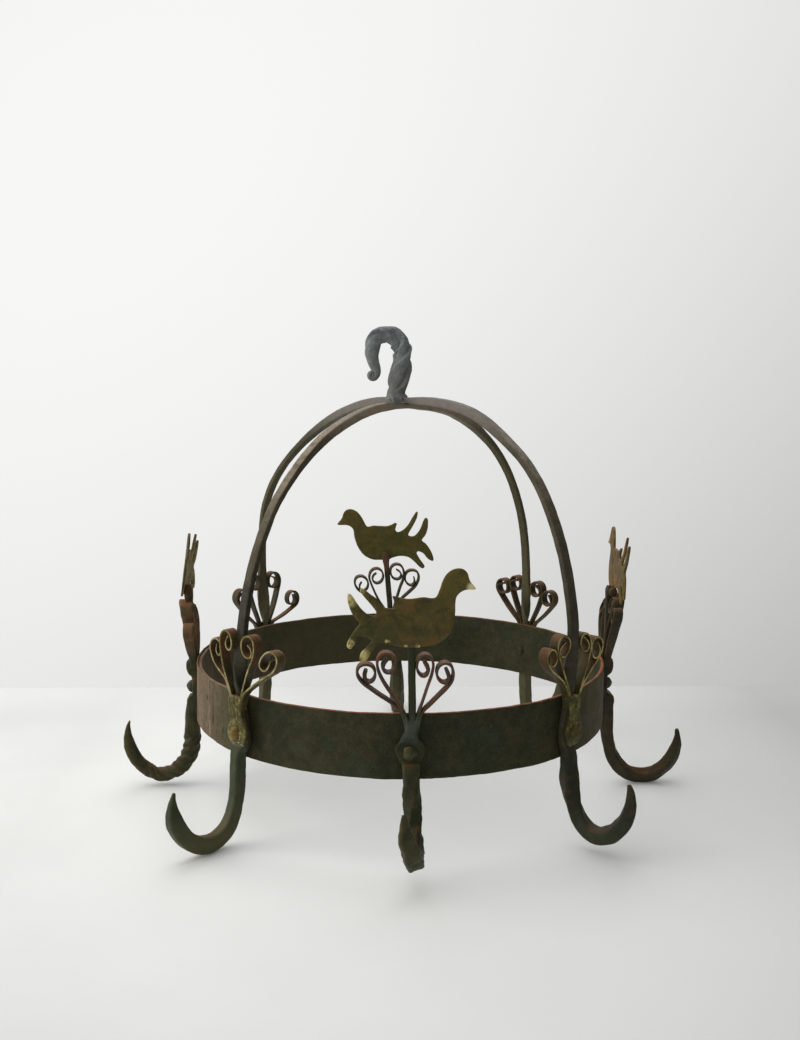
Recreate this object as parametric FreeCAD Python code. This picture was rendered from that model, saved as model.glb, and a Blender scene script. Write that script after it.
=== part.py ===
import FreeCAD
import Part
import math
import os

# Hanging kitchen crown in wrought iron: a flat hoop, two crossed arches that run
# down into hooks, four split-and-scrolled hook bars that carry sheet-iron birds,
# four scroll sprays over the arch feet, eight rivets and a twisted hanging hook.
# Millimetres, +Z up. The origin lies on the hoop's axis, on the plane that the
# hooks stand on. Azimuth 0 is the front (-Y) and grows anticlockwise from above.

V = FreeCAD.Vector

# ---------------------------------------------------------------- dimensions
STAND_Z = 68.0            # lower edge of the hoop above the standing plane
HOOP_R = 177.0            # hoop outer radius
HOOP_T = 3.0              # hoop strip thickness
HOOP_H = 50.0             # hoop strip height
LAP_GAP = 0.2             # gap between the lapped strip ends
LAP_T = 1.5               # outer strip end, drawn thin over the lap
LAP_FRONT = -62.5         # azimuth of the visible strip end
LAP_BACK = -104.0         # azimuth where the outer layer starts to joggle in
LAP_JOGGLE = -112.0       # azimuth where it is back on the hoop's radius
LAP_INNER_END = -102.0    # azimuth of the hidden strip end

RIVET_Z = 22.0            # rivet axis above the hoop's lower edge
RIVET_D = 6.0
RIVET_HEAD_D = 10.5
RIVET_HEAD_H = 4.2
RIVET_TAIL_D = 8.0
RIVET_TAIL_H = 2.0

BAR = 10.5                # hook bar, square
HOOK_CR = 33.0            # hook bend radius at the bar's centre line
HOOK_DROP = 39.42         # lowest point of a hook below its bend centre
PAD_T = 5.0               # bird hook bar, forged flat at the rivet
ARCH_PAD_T = 7.0          # arch bar at the rivet
ARCH_W = 8.5              # arch bar width
ARCH_T = 4.8              # arch bar thickness
ARCH_EYE_D = 15.0         # arch bar forged round at the crossing
SPRAY_T = 4.5             # scroll spray, pad thickness
STRIP_T = 1.8             # scroll strip thickness
STRIP_W = 10.0            # scroll strip width on the bird hooks, across the hoop
SPRAY_W = 8.3             # scroll strip width on the sprays
EYE_R = 6.6               # scroll eye radius, centre line
POST_W = 5.2              # bird post width
POST_T = 5.0              # bird post thickness
BACK_LEAN = 5.85          # the back hook bar is riveted on askew, in degrees
BIRD_T = 2.0              # bird sheet thickness
APEX_LOW = 269.3          # crossing height of the lower arch, above the hoop's lower edge
APEX_GAP = 0.1
TENON_D = 4.5
HANGER_X = -3.0           # the hanging hook stands a little off the axis

# name, azimuth, depth of the hook's lowest point under the hoop, scroll eyes (s, z) left to right
BIRD_UNITS = [
    ("front", 0.5, 56.0, [(-33.1, 82.4), (-17.6, 89.9), (10.4, 88.2), (25.4, 82.4)]),
    ("right", 90.0, 68.0, [(-27.5, 89.6), (-12.6, 95.6), (12.6, 95.0), (28.5, 88.0)]),
    ("back", 180.7, 67.9, [(-25.2, 83.6), (-10.8, 91.9), (11.9, 90.0), (27.7, 83.6)]),
    ("left", 270.0, 64.5, [(-27.0, 83.0), (-12.0, 89.6), (12.0, 92.0), (27.6, 77.6)]),
]
ARCH_UNITS = [
    ("front_left", -44.6, 68.0, [(-27.4, 85.8), (-12.4, 93.8), (16.2, 92.2), (39.6, 85.2)]),
    ("front_right", 43.6, 61.0, [(-30.4, 85.6), (-15.6, 92.6), (12.8, 91.8), (28.2, 84.8)]),
    ("back_right", 135.0, 67.0, [(-27.6, 78.2), (-12.6, 85.4), (12.4, 87.8), (27.8, 81.7)]),
    ("back_left", 226.0, 67.0, [(-37.8, 70.4), (-12.6, 92.0), (12.6, 92.4), (28.2, 80.8)]),
]

# How far each post is thickened outwards under its bird, and its top above the hoop's lower edge
BIRD_SEATS = {"front": (0.0, 112.0), "right": (4.4, 115.0), "back": (0.0, 112.0), "left": (3.5, 112.0)}

# Centre line of each arch leg over the hoop, (r, z above the hoop's lower edge), foot to crossing
ARCH_LINES = {
    "front_left": [(181.2, 80.0), (179.4, 102.0), (176.6, 118.0), (171.6, 138.5), (165.4, 156.5), (157.2, 175.0), (147.4, 192.8),
                   (133.4, 210.4), (115.0, 228.3), (89.3, 246.3), (67.6, 256.6), (46.0, 264.0), (25.0, 268.0), (9.0, 269.1)],
    "back_right": [(181.4, 90.0), (180.4, 108.0), (178.0, 130.0), (172.8, 154.0), (163.2, 178.5), (149.0, 202.8), (127.6, 226.6),
                   (112.5, 238.4), (95.0, 249.4), (77.4, 257.6), (60.4, 263.4), (43.8, 266.8), (26.0, 268.6), (9.0, 269.2)],
    "front_right": [(183.6, 84.0), (184.4, 104.0), (182.2, 124.0), (178.0, 144.0), (171.0, 167.5), (159.0, 195.0), (148.4, 212.6),
                    (132.4, 231.0), (121.0, 240.2), (105.6, 251.0), (92.6, 259.0), (79.6, 265.0), (66.4, 269.0), (53.0, 271.6),
                    (39.0, 273.0), (22.0, 273.85), (9.0, 274.08)],
    "back_left": [(184.4, 84.0), (185.8, 106.0), (184.6, 140.0), (179.8, 167.0), (168.2, 190.6), (147.0, 214.8), (132.8, 226.8),
                  (116.4, 238.8), (99.4, 249.4), (84.0, 257.4), (68.6, 263.6), (53.0, 268.6), (38.0, 272.0), (22.0, 273.7), (9.0, 274.08)],
}

# Sheet-iron bird, seen from outside the hoop, head to the right: (s, z above the hoop's lower edge)
BIRD_A = [
    (45.1, 144.7), (40.9, 150.7), (39.2, 156.0), (35.4, 159.3), (30.1, 159.2), (25.0, 156.3), (21.3, 150.2),
    (19.0, 143.2), (16.6, 138.6), (13.0, 137.9), (8.3, 138.6), (2.4, 137.9), (-2.3, 137.4), (-7.1, 137.9),
    (-12.2, 139.3), (-14.4, 139.2), (-13.1, 135.2), (-13.2, 130.9), (-17.7, 130.7), (-22.4, 132.8),
    (-26.6, 137.6), (-31.9, 142.4), (-36.0, 145.2), (-37.5, 143.4), (-34.3, 138.8), (-29.6, 133.4),
    (-26.2, 128.6), (-26.5, 125.7), (-29.5, 125.4), (-34.3, 128.0), (-39.0, 133.4), (-42.3, 138.8),
    (-44.8, 141.4), (-46.6, 140.0), (-45.9, 134.0), (-42.6, 125.8), (-37.8, 119.9), (-41.4, 114.7),
    (-44.9, 109.2), (-47.0, 103.4), (-44.3, 101.2), (-41.1, 105.0), (-38.6, 110.2), (-35.0, 110.0),
    (-30.7, 108.6), (-29.3, 106.2), (-33.1, 101.9), (-36.6, 98.3), (-37.7, 93.6), (-35.3, 91.8),
    (-32.4, 92.9), (-29.7, 97.6), (-25.9, 102.9), (-20.0, 104.8), (-11.6, 103.1), (-5.7, 102.1), (2.7, 101.8),
    (9.8, 102.6), (17.0, 104.2), (22.9, 107.8), (27.6, 113.3), (29.9, 120.0), (30.6, 127.2), (30.7, 134.5),
    (31.6, 139.2), (35.0, 142.7), (39.2, 144.2),
]
BIRD_B = [
    (47.2, 141.9), (43.0, 148.4), (41.4, 153.4), (38.6, 156.8), (34.0, 157.7), (28.4, 155.2), (23.6, 149.2),
    (20.4, 142.8), (17.8, 139.4), (12.4, 140.4), (6.0, 140.1), (-0.5, 139.9), (-5.4, 141.3), (-9.0, 143.4),
    (-10.6, 142.0), (-9.4, 136.2), (-12.0, 133.6), (-16.9, 136.0), (-21.7, 141.2), (-26.4, 149.8), (-29.6, 154.7),
    (-31.2, 153.6), (-29.8, 147.2), (-26.5, 140.3), (-22.2, 131.8), (-23.6, 129.4), (-28.3, 129.9), (-33.1, 135.9),
    (-36.3, 144.5), (-38.7, 148.5), (-41.1, 146.3), (-40.9, 137.6), (-38.8, 130.6), (-35.3, 125.1), (-39.7, 121.0),
    (-44.6, 113.1), (-47.0, 105.4), (-45.2, 103.4), (-40.6, 106.4), (-36.6, 111.5), (-31.9, 113.4), (-30.4, 111.3),
    (-33.5, 105.4), (-38.0, 98.5), (-36.8, 95.6), (-33.4, 96.9), (-27.8, 102.8), (-22.1, 107.3), (-14.0, 108.6),
    (-6.0, 106.6), (-2.7, 104.8), (5.5, 104.6), (13.6, 105.3), (21.6, 110.0), (27.2, 118.0), (30.6, 127.6),
    (31.8, 136.0), (34.8, 139.7), (38.9, 141.2),
]


# ---------------------------------------------------------------- helpers
def turned(shape, azimuth):
    """A shape built at the front, turned to its azimuth and lifted to its height."""
    made = shape.copy()
    made.translate(V(0, 0, STAND_Z))
    made.rotate(V(0, 0, 0), V(0, 0, 1), azimuth)
    return made


def slab(points, r_in, r_out):
    """A flat outline in (s, z), as thick as r_in to r_out across the hoop, at the front."""
    loop = [V(s, -r_in, z) for s, z in points]
    face = Part.Face(Part.makePolygon(loop + [loop[0]]))
    return face.extrude(V(0, r_in - r_out, 0))


def block(s0, s1, r0, r1, z0, z1):
    return Part.makeBox(s1 - s0, r1 - r0, z1 - z0, V(s0, -r1, z0))


def rod(r0, r1, z, d):
    """A round bar that runs across the hoop at the front."""
    return Part.makeCylinder(d / 2.0, r1 - r0, V(0, -r0, z), V(0, -1, 0))


def fused(pieces):
    whole = pieces[0]
    for p in pieces[1:]:
        whole = whole.fuse(p)
    whole = whole.removeSplitter()
    return whole


def smooth_loop(points, steps=2):
    """Closed Catmull-Rom curve through the points, as a finer polygon."""
    n, out = len(points), []
    for i in range(n):
        p0, p1, p2, p3 = (points[(i + k) % n] for k in (-1, 0, 1, 2))
        for j in range(steps):
            t = j / float(steps)
            out.append(tuple(
                0.5 * (2 * p1[k] + (p2[k] - p0[k]) * t + (2 * p0[k] - 5 * p1[k] + 4 * p2[k] - p3[k]) * t * t
                       + (3 * p1[k] - p0[k] - 3 * p2[k] + p3[k]) * t ** 3) for k in (0, 1)))
    return out


# ---------------------------------------------------------------- hoop
def polar(r, a, z=0.0):
    a = math.radians(a)
    return V(r * math.sin(a), -r * math.cos(a), z)


def arc_edge(r, a0, a1):
    return Part.Arc(polar(r, a0), polar(r, (a0 + a1) / 2.0), polar(r, a1)).toShape()


def arcs(r, a0, a1, parts=4):
    step = (a1 - a0) / parts
    return [arc_edge(r, a0 + i * step, a0 + (i + 1) * step) for i in range(parts)]


def line(p, q):
    return Part.makeLine(p, q)


def hoop():
    ri, ro = HOOP_R - HOOP_T, HOOP_R
    li, lo = HOOP_R + LAP_GAP, HOOP_R + LAP_GAP + LAP_T
    start, joggle, back, end = LAP_INNER_END, LAP_JOGGLE + 360, LAP_BACK + 360, LAP_FRONT + 360
    edges = arcs(ri, start, joggle, 6)
    edges += [line(polar(ri, joggle), polar(li, back))]
    edges += arcs(li, back, end, 1)
    edges += [line(polar(li, end), polar(lo, end))]
    edges += arcs(lo, end, back, 1)
    edges += [line(polar(lo, back), polar(ro, joggle))]
    edges += arcs(ro, joggle, start, 6)
    edges += [line(polar(ro, start), polar(ri, start))]
    face = Part.Face(Part.Wire(edges))
    strip = face.extrude(V(0, 0, HOOP_H))
    for _, azimuth, _, _ in BIRD_UNITS + ARCH_UNITS:
        hole = rod(HOOP_R - 12, HOOP_R + 8, RIVET_Z, RIVET_D)
        hole.rotate(V(0, 0, 0), V(0, 0, 1), azimuth)
        strip = strip.cut(hole)
    strip.translate(V(0, 0, STAND_Z))
    return strip


# ---------------------------------------------------------------- scroll strips
def thick_path(segments, t):
    """Outline of a strip of thickness t along tangent lines and arcs in the (s, z) plane.
    A line is ("L", p, q); an arc is ("A", centre, radius, from degrees, to degrees)."""
    left, right = [], []

    def at(c, r, a):
        return V(c[0] + r * math.cos(math.radians(a)), 0, c[1] + r * math.sin(math.radians(a)))

    for g in segments:
        if g[0] == "L":
            p, q = g[1], g[2]
            d = math.hypot(q[0] - p[0], q[1] - p[1])
            n = (-(q[1] - p[1]) / d * t / 2.0, (q[0] - p[0]) / d * t / 2.0)
            left.append(("L", V(p[0] + n[0], 0, p[1] + n[1]), V(q[0] + n[0], 0, q[1] + n[1])))
            right.append(("L", V(p[0] - n[0], 0, p[1] - n[1]), V(q[0] - n[0], 0, q[1] - n[1])))
        else:
            _, c, r, a0, a1 = g
            turn = 1.0 if a1 > a0 else -1.0
            for side, off in ((left, -turn), (right, turn)):
                rr = r + off * t / 2.0
                side.append(("A", at(c, rr, a0), at(c, rr, (a0 + a1) / 2.0), at(c, rr, a1)))

    def edge(g):
        return Part.makeLine(g[1], g[2]) if g[0] == "L" else Part.Arc(g[1], g[2], g[3]).toShape()

    def back(g):
        return Part.makeLine(g[2], g[1]) if g[0] == "L" else Part.Arc(g[3], g[2], g[1]).toShape()

    edges = [edge(g) for g in left]
    edges.append(Part.makeLine(left[-1][-1], right[-1][-1]))
    edges += [back(g) for g in reversed(right)]
    edges.append(Part.makeLine(right[0][1], left[0][1]))
    return Part.Face(Part.Wire(edges))


def scroll_path(root, knee, eye, radius):
    """Path of one scroll on the right of the post: up from the root, out at the knee, round the eye towards the post."""
    # tangent from the knee to the eye's outer (right, lower) side, turning anticlockwise round the eye
    dx, dz = eye[0] - knee[0], eye[1] - knee[1]
    dist = math.hypot(dx, dz)
    base = math.degrees(math.atan2(dz, dx))
    swing = math.degrees(math.asin(radius / dist))
    heading = base - swing
    length = math.sqrt(dist * dist - radius * radius)
    h = math.radians(heading)
    touch = (knee[0] + length * math.cos(h), knee[1] + length * math.sin(h))
    first = math.degrees(math.atan2(knee[1] - root[1], knee[0] - root[0]))
    bend = heading - first            # negative: outwards
    fillet = 9.0
    cut = fillet * math.tan(math.radians(abs(bend)) / 2.0)
    f = math.radians(first)
    p1 = (knee[0] - cut * math.cos(f), knee[1] - cut * math.sin(f))
    p2 = (knee[0] + cut * math.cos(h), knee[1] + cut * math.sin(h))
    if bend < 0:
        c = (p1[0] + fillet * math.sin(f), p1[1] - fillet * math.cos(f))
        corner = ("A", c, fillet, first + 90, heading + 90)
    else:
        c = (p1[0] - fillet * math.sin(f), p1[1] + fillet * math.cos(f))
        corner = ("A", c, fillet, first - 90, heading - 90)
    a0 = heading - 90.0
    segs = [("L", root, p1), corner, ("L", p2, touch), ("A", eye, radius, a0, a0 + 180.0)]
    # second half turn, tighter, then the end curls in
    r2, r3 = radius - 1.15, radius - 2.9
    e = math.radians(a0 + 180.0)
    c2 = (eye[0] + (radius - r2) * math.cos(e), eye[1] + (radius - r2) * math.sin(e))
    segs.append(("A", c2, r2, a0 + 180.0, a0 + 360.0))
    c3 = (c2[0] + (r2 - r3) * math.cos(math.radians(a0)), c2[1] + (r2 - r3) * math.sin(math.radians(a0)))
    segs.append(("A", c3, r3, a0 + 360.0, a0 + 450.0))
    return segs


def mirrored(segs):
    out = []
    for g in segs:
        if g[0] == "L":
            out.append(("L", (-g[1][0], g[1][1]), (-g[2][0], g[2][1])))
        else:
            _, c, r, a0, a1 = g
            out.append(("A", (-c[0], c[1]), r, 180.0 - a0, 180.0 - a1))
    return out


def scrolls(eyes, roots, z0, r_in, r_out):
    """Four scroll strips, left to right. roots are the inner and the outer strip's distance from the middle."""
    inner, outer = roots
    made = []
    for i, (s, z) in enumerate(eyes):
        side = -1 if i < 2 else 1
        is_outer = i in (0, 3)
        root_s = outer if is_outer else inner
        knee = (root_s + (1.6 if is_outer else 0.9), z0 + (9.5 if is_outer else 11.0))
        segs = scroll_path((root_s, z0), knee, (abs(s), z), EYE_R if is_outer else EYE_R + 0.2)
        if side < 0:
            segs = mirrored(segs)
        face = thick_path(segs, STRIP_T)
        face.translate(V(0, -r_in, 0))
        made.append(face.extrude(V(0, r_in - r_out, 0)))
    return made


# ---------------------------------------------------------------- hooks
def hook(depth, r_back, z_top):
    """A hook from z_top down: the bar's back face at r_back, its lowest point at -depth."""
    zc = -depth + HOOK_DROP
    rc = HOOP_R + BAR / 2.0 + HOOK_CR
    squeeze = (rc - r_back) / (rc - HOOP_R)      # a hook over the lap bends a little tighter

    def p(dr, dz):
        return V(0, -(rc + (dr * squeeze if dr < 0 else dr)), zc + dz)

    ri = HOOK_CR - BAR / 2.0
    back = Part.BSplineCurve()
    back.interpolate(
        [p(-HOOK_CR - BAR / 2.0, 0), p(-33.6, -18.6), p(-20.0, -33.6), p(0.0, -39.4), p(19.0, -34.8), p(31.6, -20.4),
         p(36.0, -4.0), p(32.6, 14.6)], InitialTangent=V(0, 0, -1), FinalTangent=V(0, 0.36, 0.93))
    gap = Part.BSplineCurve()
    gap.interpolate(
        [p(30.0, 14.2), p(28.6, -3.0), p(21.6, -18.0), p(9.5, -25.6), p(-4.0, -26.8), p(-17.6, -21.2), p(-25.2, -11.0),
         p(-ri, 0)], InitialTangent=V(0, 0.05, -1), FinalTangent=V(0, 0, 1))
    edges = [
        Part.makeLine(V(0, -r_back, z_top), p(-HOOK_CR - BAR / 2.0, 0)),
        back.toShape(),
        Part.makeLine(p(32.6, 14.6), p(30.0, 14.2)),
        gap.toShape(),
        Part.makeLine(p(-ri, 0), V(0, -r_back - BAR, z_top)),
        Part.makeLine(V(0, -r_back - BAR, z_top), V(0, -r_back, z_top)),
    ]
    flat = Part.Face(Part.Wire(edges))
    flat.translate(V(-BAR / 2.0, 0, 0))
    bar = flat.extrude(V(BAR, 0, 0))
    # the bar narrows towards its point
    far = rc + 40.0
    plan = [V(-BAR, -(r_back - 5), 0), V(BAR, -(r_back - 5), 0), V(BAR / 2.0 + 0.5, -(rc - 4.0), 0),
            V(2.3, -far, 0), V(-2.3, -far, 0), V(-BAR / 2.0 - 0.5, -(rc - 4.0), 0)]
    wedge = Part.Face(Part.makePolygon(plan + [plan[0]]))
    wedge.translate(V(0, 0, -depth - 10))
    return bar.common(wedge.extrude(V(0, 0, depth + 100)))


def bird_hook(name, depth, eyes):
    r0 = HOOP_R + (LAP_GAP + LAP_T if name == "left" else 0.0)
    bar = hook(depth, r0, 12.0)
    pad = slab([(-6.2, 6.0), (6.2, 6.0), (7.2, 14.0), (11.2, 22.0), (10.6, 25.5), (5.0, 37.0), (-5.0, 37.0),
                (-10.8, 26.0), (-11.4, 22.5), (-7.0, 14.0)], r0, r0 + PAD_T)
    neck = slab([(-4.9, 33.0), (4.9, 33.0), (5.0, 38.0), (6.5, 47.0), (-6.5, 47.0), (-5.0, 38.0)], r0 + 0.4, r0 + STRIP_W + 0.4)
    out, top = BIRD_SEATS[name]
    post = block(-POST_W / 2, POST_W / 2, r0 + 3.0, r0 + 3.0 + POST_T, 44.0, top)
    if out:
        post = post.fuse(block(-POST_W / 2, POST_W / 2, r0 + 3.0, r0 + 3.0 + POST_T + out, 99.0, top))
    strips = scrolls(eyes, (3.55, 5.6), 44.0, r0 + 0.4, r0 + STRIP_W + 0.4)
    whole = fused([bar, pad, neck, post] + strips)
    return whole.cut(rod(r0 - 2, r0 + 12, RIVET_Z, RIVET_D))


def spray(eyes):
    r0 = HOOP_R + ARCH_PAD_T
    pad = slab([(-4.6, 13.2), (0.0, 11.6), (4.8, 13.0), (8.6, 17.0), (10.4, 22.5), (9.6, 27.5), (6.6, 34.0), (6.8, 41.0),
                (8.4, 51.0), (-8.4, 51.0), (-6.8, 41.0), (-6.6, 34.0), (-9.8, 27.0), (-10.4, 22.0), (-8.4, 16.8)],
               r0, r0 + SPRAY_T)
    strips = scrolls(eyes, (5.35, 7.4), 45.5, r0 + SPRAY_T - SPRAY_W, r0 + SPRAY_T)
    whole = fused([pad] + strips)
    return whole.cut(rod(r0 - 2, r0 + 12, RIVET_Z, RIVET_D))


# ---------------------------------------------------------------- arches
def half_arch(name, depth, apex):
    """One leg of an arch at the front, from the hook's point to just short of the hoop's axis."""
    r_mid = HOOP_R + ARCH_PAD_T - ARCH_T / 2.0
    bar = hook(depth, HOOP_R, 11.0)
    pad = slab([(-5.6, 5.0), (5.6, 5.0), (7.2, 15.0), (7.4, 28.0), (5.6, 36.0), (ARCH_W / 2, 40.0), (-ARCH_W / 2, 40.0),
                (-5.6, 36.0), (-7.4, 28.0), (-7.2, 15.0)], HOOP_R, HOOP_R + ARCH_PAD_T)
    foot = slab([(-ARCH_W / 2, 38.0), (ARCH_W / 2, 38.0), (ARCH_W / 2, 50.0), (-ARCH_W / 2, 50.0)], HOOP_R, HOOP_R + ARCH_PAD_T)
    # arch outline in its own plane, then its width; the leg ends inside the crossing's eye
    mid = [(r_mid, 52.5)] + ARCH_LINES[name] + [(3.5, apex)]
    sides = {1: [], -1: []}
    for i, (r, z) in enumerate(mid):
        p, n = mid[max(i - 1, 0)], mid[min(i + 1, len(mid) - 1)]
        dr, dz = n[0] - p[0], n[1] - p[1]
        if i == 0:
            dr, dz = 0.0, 1.0
        elif i == len(mid) - 1:
            dr, dz = -1.0, 0.0
        size = math.hypot(dr, dz)
        for way in sides:
            off = way * ARCH_T / 2.0
            sides[way].append(V(-ARCH_W / 2.0, -(r + off * dz / size), z - off * dr / size))
    outer, inner = Part.BSplineCurve(), Part.BSplineCurve()
    outer.interpolate(sides[1], InitialTangent=V(0, 0, 1), FinalTangent=V(0, 1, 0))
    inner.interpolate(sides[-1][::-1], InitialTangent=V(0, -1, 0), FinalTangent=V(0, 0, -1))
    low_out = V(-ARCH_W / 2, -(r_mid + ARCH_T / 2.0), 49.0)
    low_in = V(-ARCH_W / 2, -HOOP_R, 49.0)
    edges = [
        Part.makeLine(low_out, sides[1][0]),
        outer.toShape(),
        Part.makeLine(sides[1][-1], sides[-1][-1]),
        inner.toShape(),
        Part.makeLine(sides[-1][0], low_in),
        Part.makeLine(low_in, low_out),
    ]
    leg = Part.Face(Part.Wire(edges)).extrude(V(ARCH_W, 0, 0))
    whole = fused([bar, pad, foot, leg])
    return whole.cut(rod(HOOP_R - 2, HOOP_R + 12, RIVET_Z, RIVET_D))


def arch(first, second, apex):
    a = turned(half_arch(first[0], first[2], apex), first[1])
    b = turned(half_arch(second[0], second[2], apex), second[1])
    eye = Part.makeCylinder(ARCH_EYE_D / 2.0, ARCH_T - 1.2, V(0, 0, STAND_Z + apex - ARCH_T / 2.0 + 0.6))
    whole = fused([a, b, eye])
    return whole.cut(Part.makeCylinder(TENON_D / 2.0, 60, V(0, 0, STAND_Z + apex - 30)))


# ---------------------------------------------------------------- rivets, birds, hanging hook
def rivet(r_tail, r_head):
    """Rivet at the front: a hammered head outside, a clenched tail inside."""
    tail = r_tail - 0.05
    prof = [V(0, -(tail - RIVET_TAIL_H), 0), V(RIVET_TAIL_D / 2 - 1.2, -(tail - RIVET_TAIL_H), 0),
            V(RIVET_TAIL_D / 2, -(tail - 0.8), 0), V(RIVET_TAIL_D / 2, -tail, 0), V(RIVET_D / 2, -tail, 0),
            V(RIVET_D / 2, -r_head, 0), V(RIVET_HEAD_D / 2, -r_head, 0), V(RIVET_HEAD_D / 2, -(r_head + 1.4), 0),
            V(RIVET_HEAD_D / 2 - 1.4, -(r_head + RIVET_HEAD_H - 0.9), 0), V(RIVET_HEAD_D / 2 - 3.0, -(r_head + RIVET_HEAD_H), 0),
            V(0, -(r_head + RIVET_HEAD_H), 0)]
    face = Part.Face(Part.makePolygon(prof + [prof[0]]))
    solid = face.revolve(V(0, 0, 0), V(0, 1, 0), 360)
    solid.translate(V(0, 0, RIVET_Z))
    return solid


def bird(outline, r_in):
    return slab(smooth_loop(outline), r_in, r_in + BIRD_T)


def bird_outline(name):
    """The front bird has its own outline; the other three are hand-cut variants of one."""
    if name == "front":
        return BIRD_A
    if name == "right":                   # sits higher, with its tail up
        return [(s, z + 3.4 - 0.03 * s) for s, z in BIRD_B]
    if name == "back":                    # a little longer, and level although its bar leans
        return [(1.06 * s + 8.3, z) for s, z in BIRD_B]
    # the left one holds its head higher
    return [(s, z + (5.5 * min(max((z - 137.0) / 16.0, 0.0), 1.0) if s > 15 else 0.05 * min(s, 0.0))) for s, z in BIRD_B]


def hanging_hook(seat, low):
    """Twisted hook over the crossing: foot on the upper arch, tenon through both arches, rolled point."""
    foot = Part.makeCone(10.4, 6.6, 6.2, V(HANGER_X / 2.0, 0, seat))
    tenon = Part.makeCylinder(TENON_D / 2.0, seat - low + 0.5, V(0, 0, low))
    # x, z above the seat, thickness in the hook's plane, thickness across it
    stations = [
        (0.0, 4.0, 13.0, 12.0), (-0.2, 8.5, 15.4, 11.4), (-0.2, 14.5, 17.6, 11.0), (0.6, 22.0, 17.2, 11.0), (1.8, 30.0, 15.6, 11.0),
        (2.6, 38.0, 15.0, 11.0), (1.2, 45.6, 14.4, 10.8), (-3.8, 51.6, 13.6, 10.4), (-10.6, 54.0, 13.0, 10.0),
        (-17.6, 51.8, 12.6, 9.6), (-22.2, 45.8, 12.2, 9.2), (-23.6, 38.6, 11.6, 8.6), (-23.0, 31.0, 10.0, 7.8), (-21.6, 24.4, 7.8, 6.8),
        (-21.0, 19.4, 5.6, 6.0),
    ]
    wires = []
    for i, (x, z, a, b) in enumerate(stations):
        p, n = stations[max(i - 1, 0)], stations[min(i + 1, len(stations) - 1)]
        d = V(n[0] - p[0], 0, n[1] - p[1])
        if i == 0:
            d = V(0, 0, 1)
        d.normalize()
        side = V(d.z, 0, -d.x)
        e = Part.Ellipse(V(0, 0, 0), a / 2.0, b / 2.0) if a >= b else Part.Ellipse(V(0, 0, 0), b / 2.0, a / 2.0)
        w = Part.Wire(e.toShape())
        if a < b:
            w.rotate(V(0, 0, 0), V(0, 0, 1), 90)
        y = d.cross(side)
        m = FreeCAD.Matrix(side.x, y.x, d.x, x + HANGER_X, side.y, y.y, d.y, 0, side.z, y.z, d.z, seat + z, 0, 0, 0, 1)
        w.transformShape(m, True)
        wires.append(w)
    limb = Part.makeLoft(wires, True, False)
    roll = Part.makeCylinder(4.0, 6.4, V(HANGER_X - 24.0, -3.2, seat + 18.0), V(0, 1, 0))
    return fused([foot, tenon, limb, roll])


def build():
    parts = {"hoop_band": hoop()}
    units = {u[0]: u for u in ARCH_UNITS}
    high = APEX_LOW + ARCH_T + APEX_GAP
    parts["arch_lower"] = arch(units["front_left"], units["back_right"], APEX_LOW)
    parts["arch_upper"] = arch(units["front_right"], units["back_left"], high)
    for i, (name, azimuth, depth, eyes) in enumerate(BIRD_UNITS):
        r0 = HOOP_R + (LAP_GAP + LAP_T if name == "left" else 0.0)
        hook_bar = bird_hook(name, depth, eyes)
        if name == "back":
            hook_bar.rotate(V(0, 0, RIVET_Z), V(0, 1, 0), BACK_LEAN)
        parts["bird_hook_" + name] = turned(hook_bar, azimuth)
        parts["rivet_" + name] = turned(rivet(HOOP_R - HOOP_T, r0 + PAD_T), azimuth)
        parts["bird_" + name] = turned(bird(bird_outline(name), r0 + 3.0 + POST_T + BIRD_SEATS[name][0]), azimuth)
    for name, azimuth, depth, eyes in ARCH_UNITS:
        parts["scroll_spray_" + name] = turned(spray(eyes), azimuth)
        parts["rivet_" + name] = turned(rivet(HOOP_R - HOOP_T, HOOP_R + ARCH_PAD_T + SPRAY_T), azimuth)
    seat = STAND_Z + high + ARCH_T / 2.0
    parts["hanging_hook"] = hanging_hook(seat, STAND_Z + APEX_LOW - ARCH_T / 2.0)
    return parts


def main():
    os.makedirs("parts", exist_ok=True)
    for name, shape in build().items():
        solids = shape.Solids
        print("%-28s solids %d valid %s volume %.1f box %s" % (
            name, len(solids), shape.isValid(), shape.Volume,
            [round(x, 1) for x in (shape.BoundBox.XMin, shape.BoundBox.XMax, shape.BoundBox.YMin, shape.BoundBox.YMax,
                                   shape.BoundBox.ZMin, shape.BoundBox.ZMax)]))
        made = solids[0] if len(solids) == 1 else Part.makeCompound(solids)
        made.exportStep("parts/%s.step" % name)


main()
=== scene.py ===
import math

import bpy
import bmesh
import numpy as np
from mathutils import Matrix, Vector
from mathutils.geometry import delaunay_2d_cdt

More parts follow.
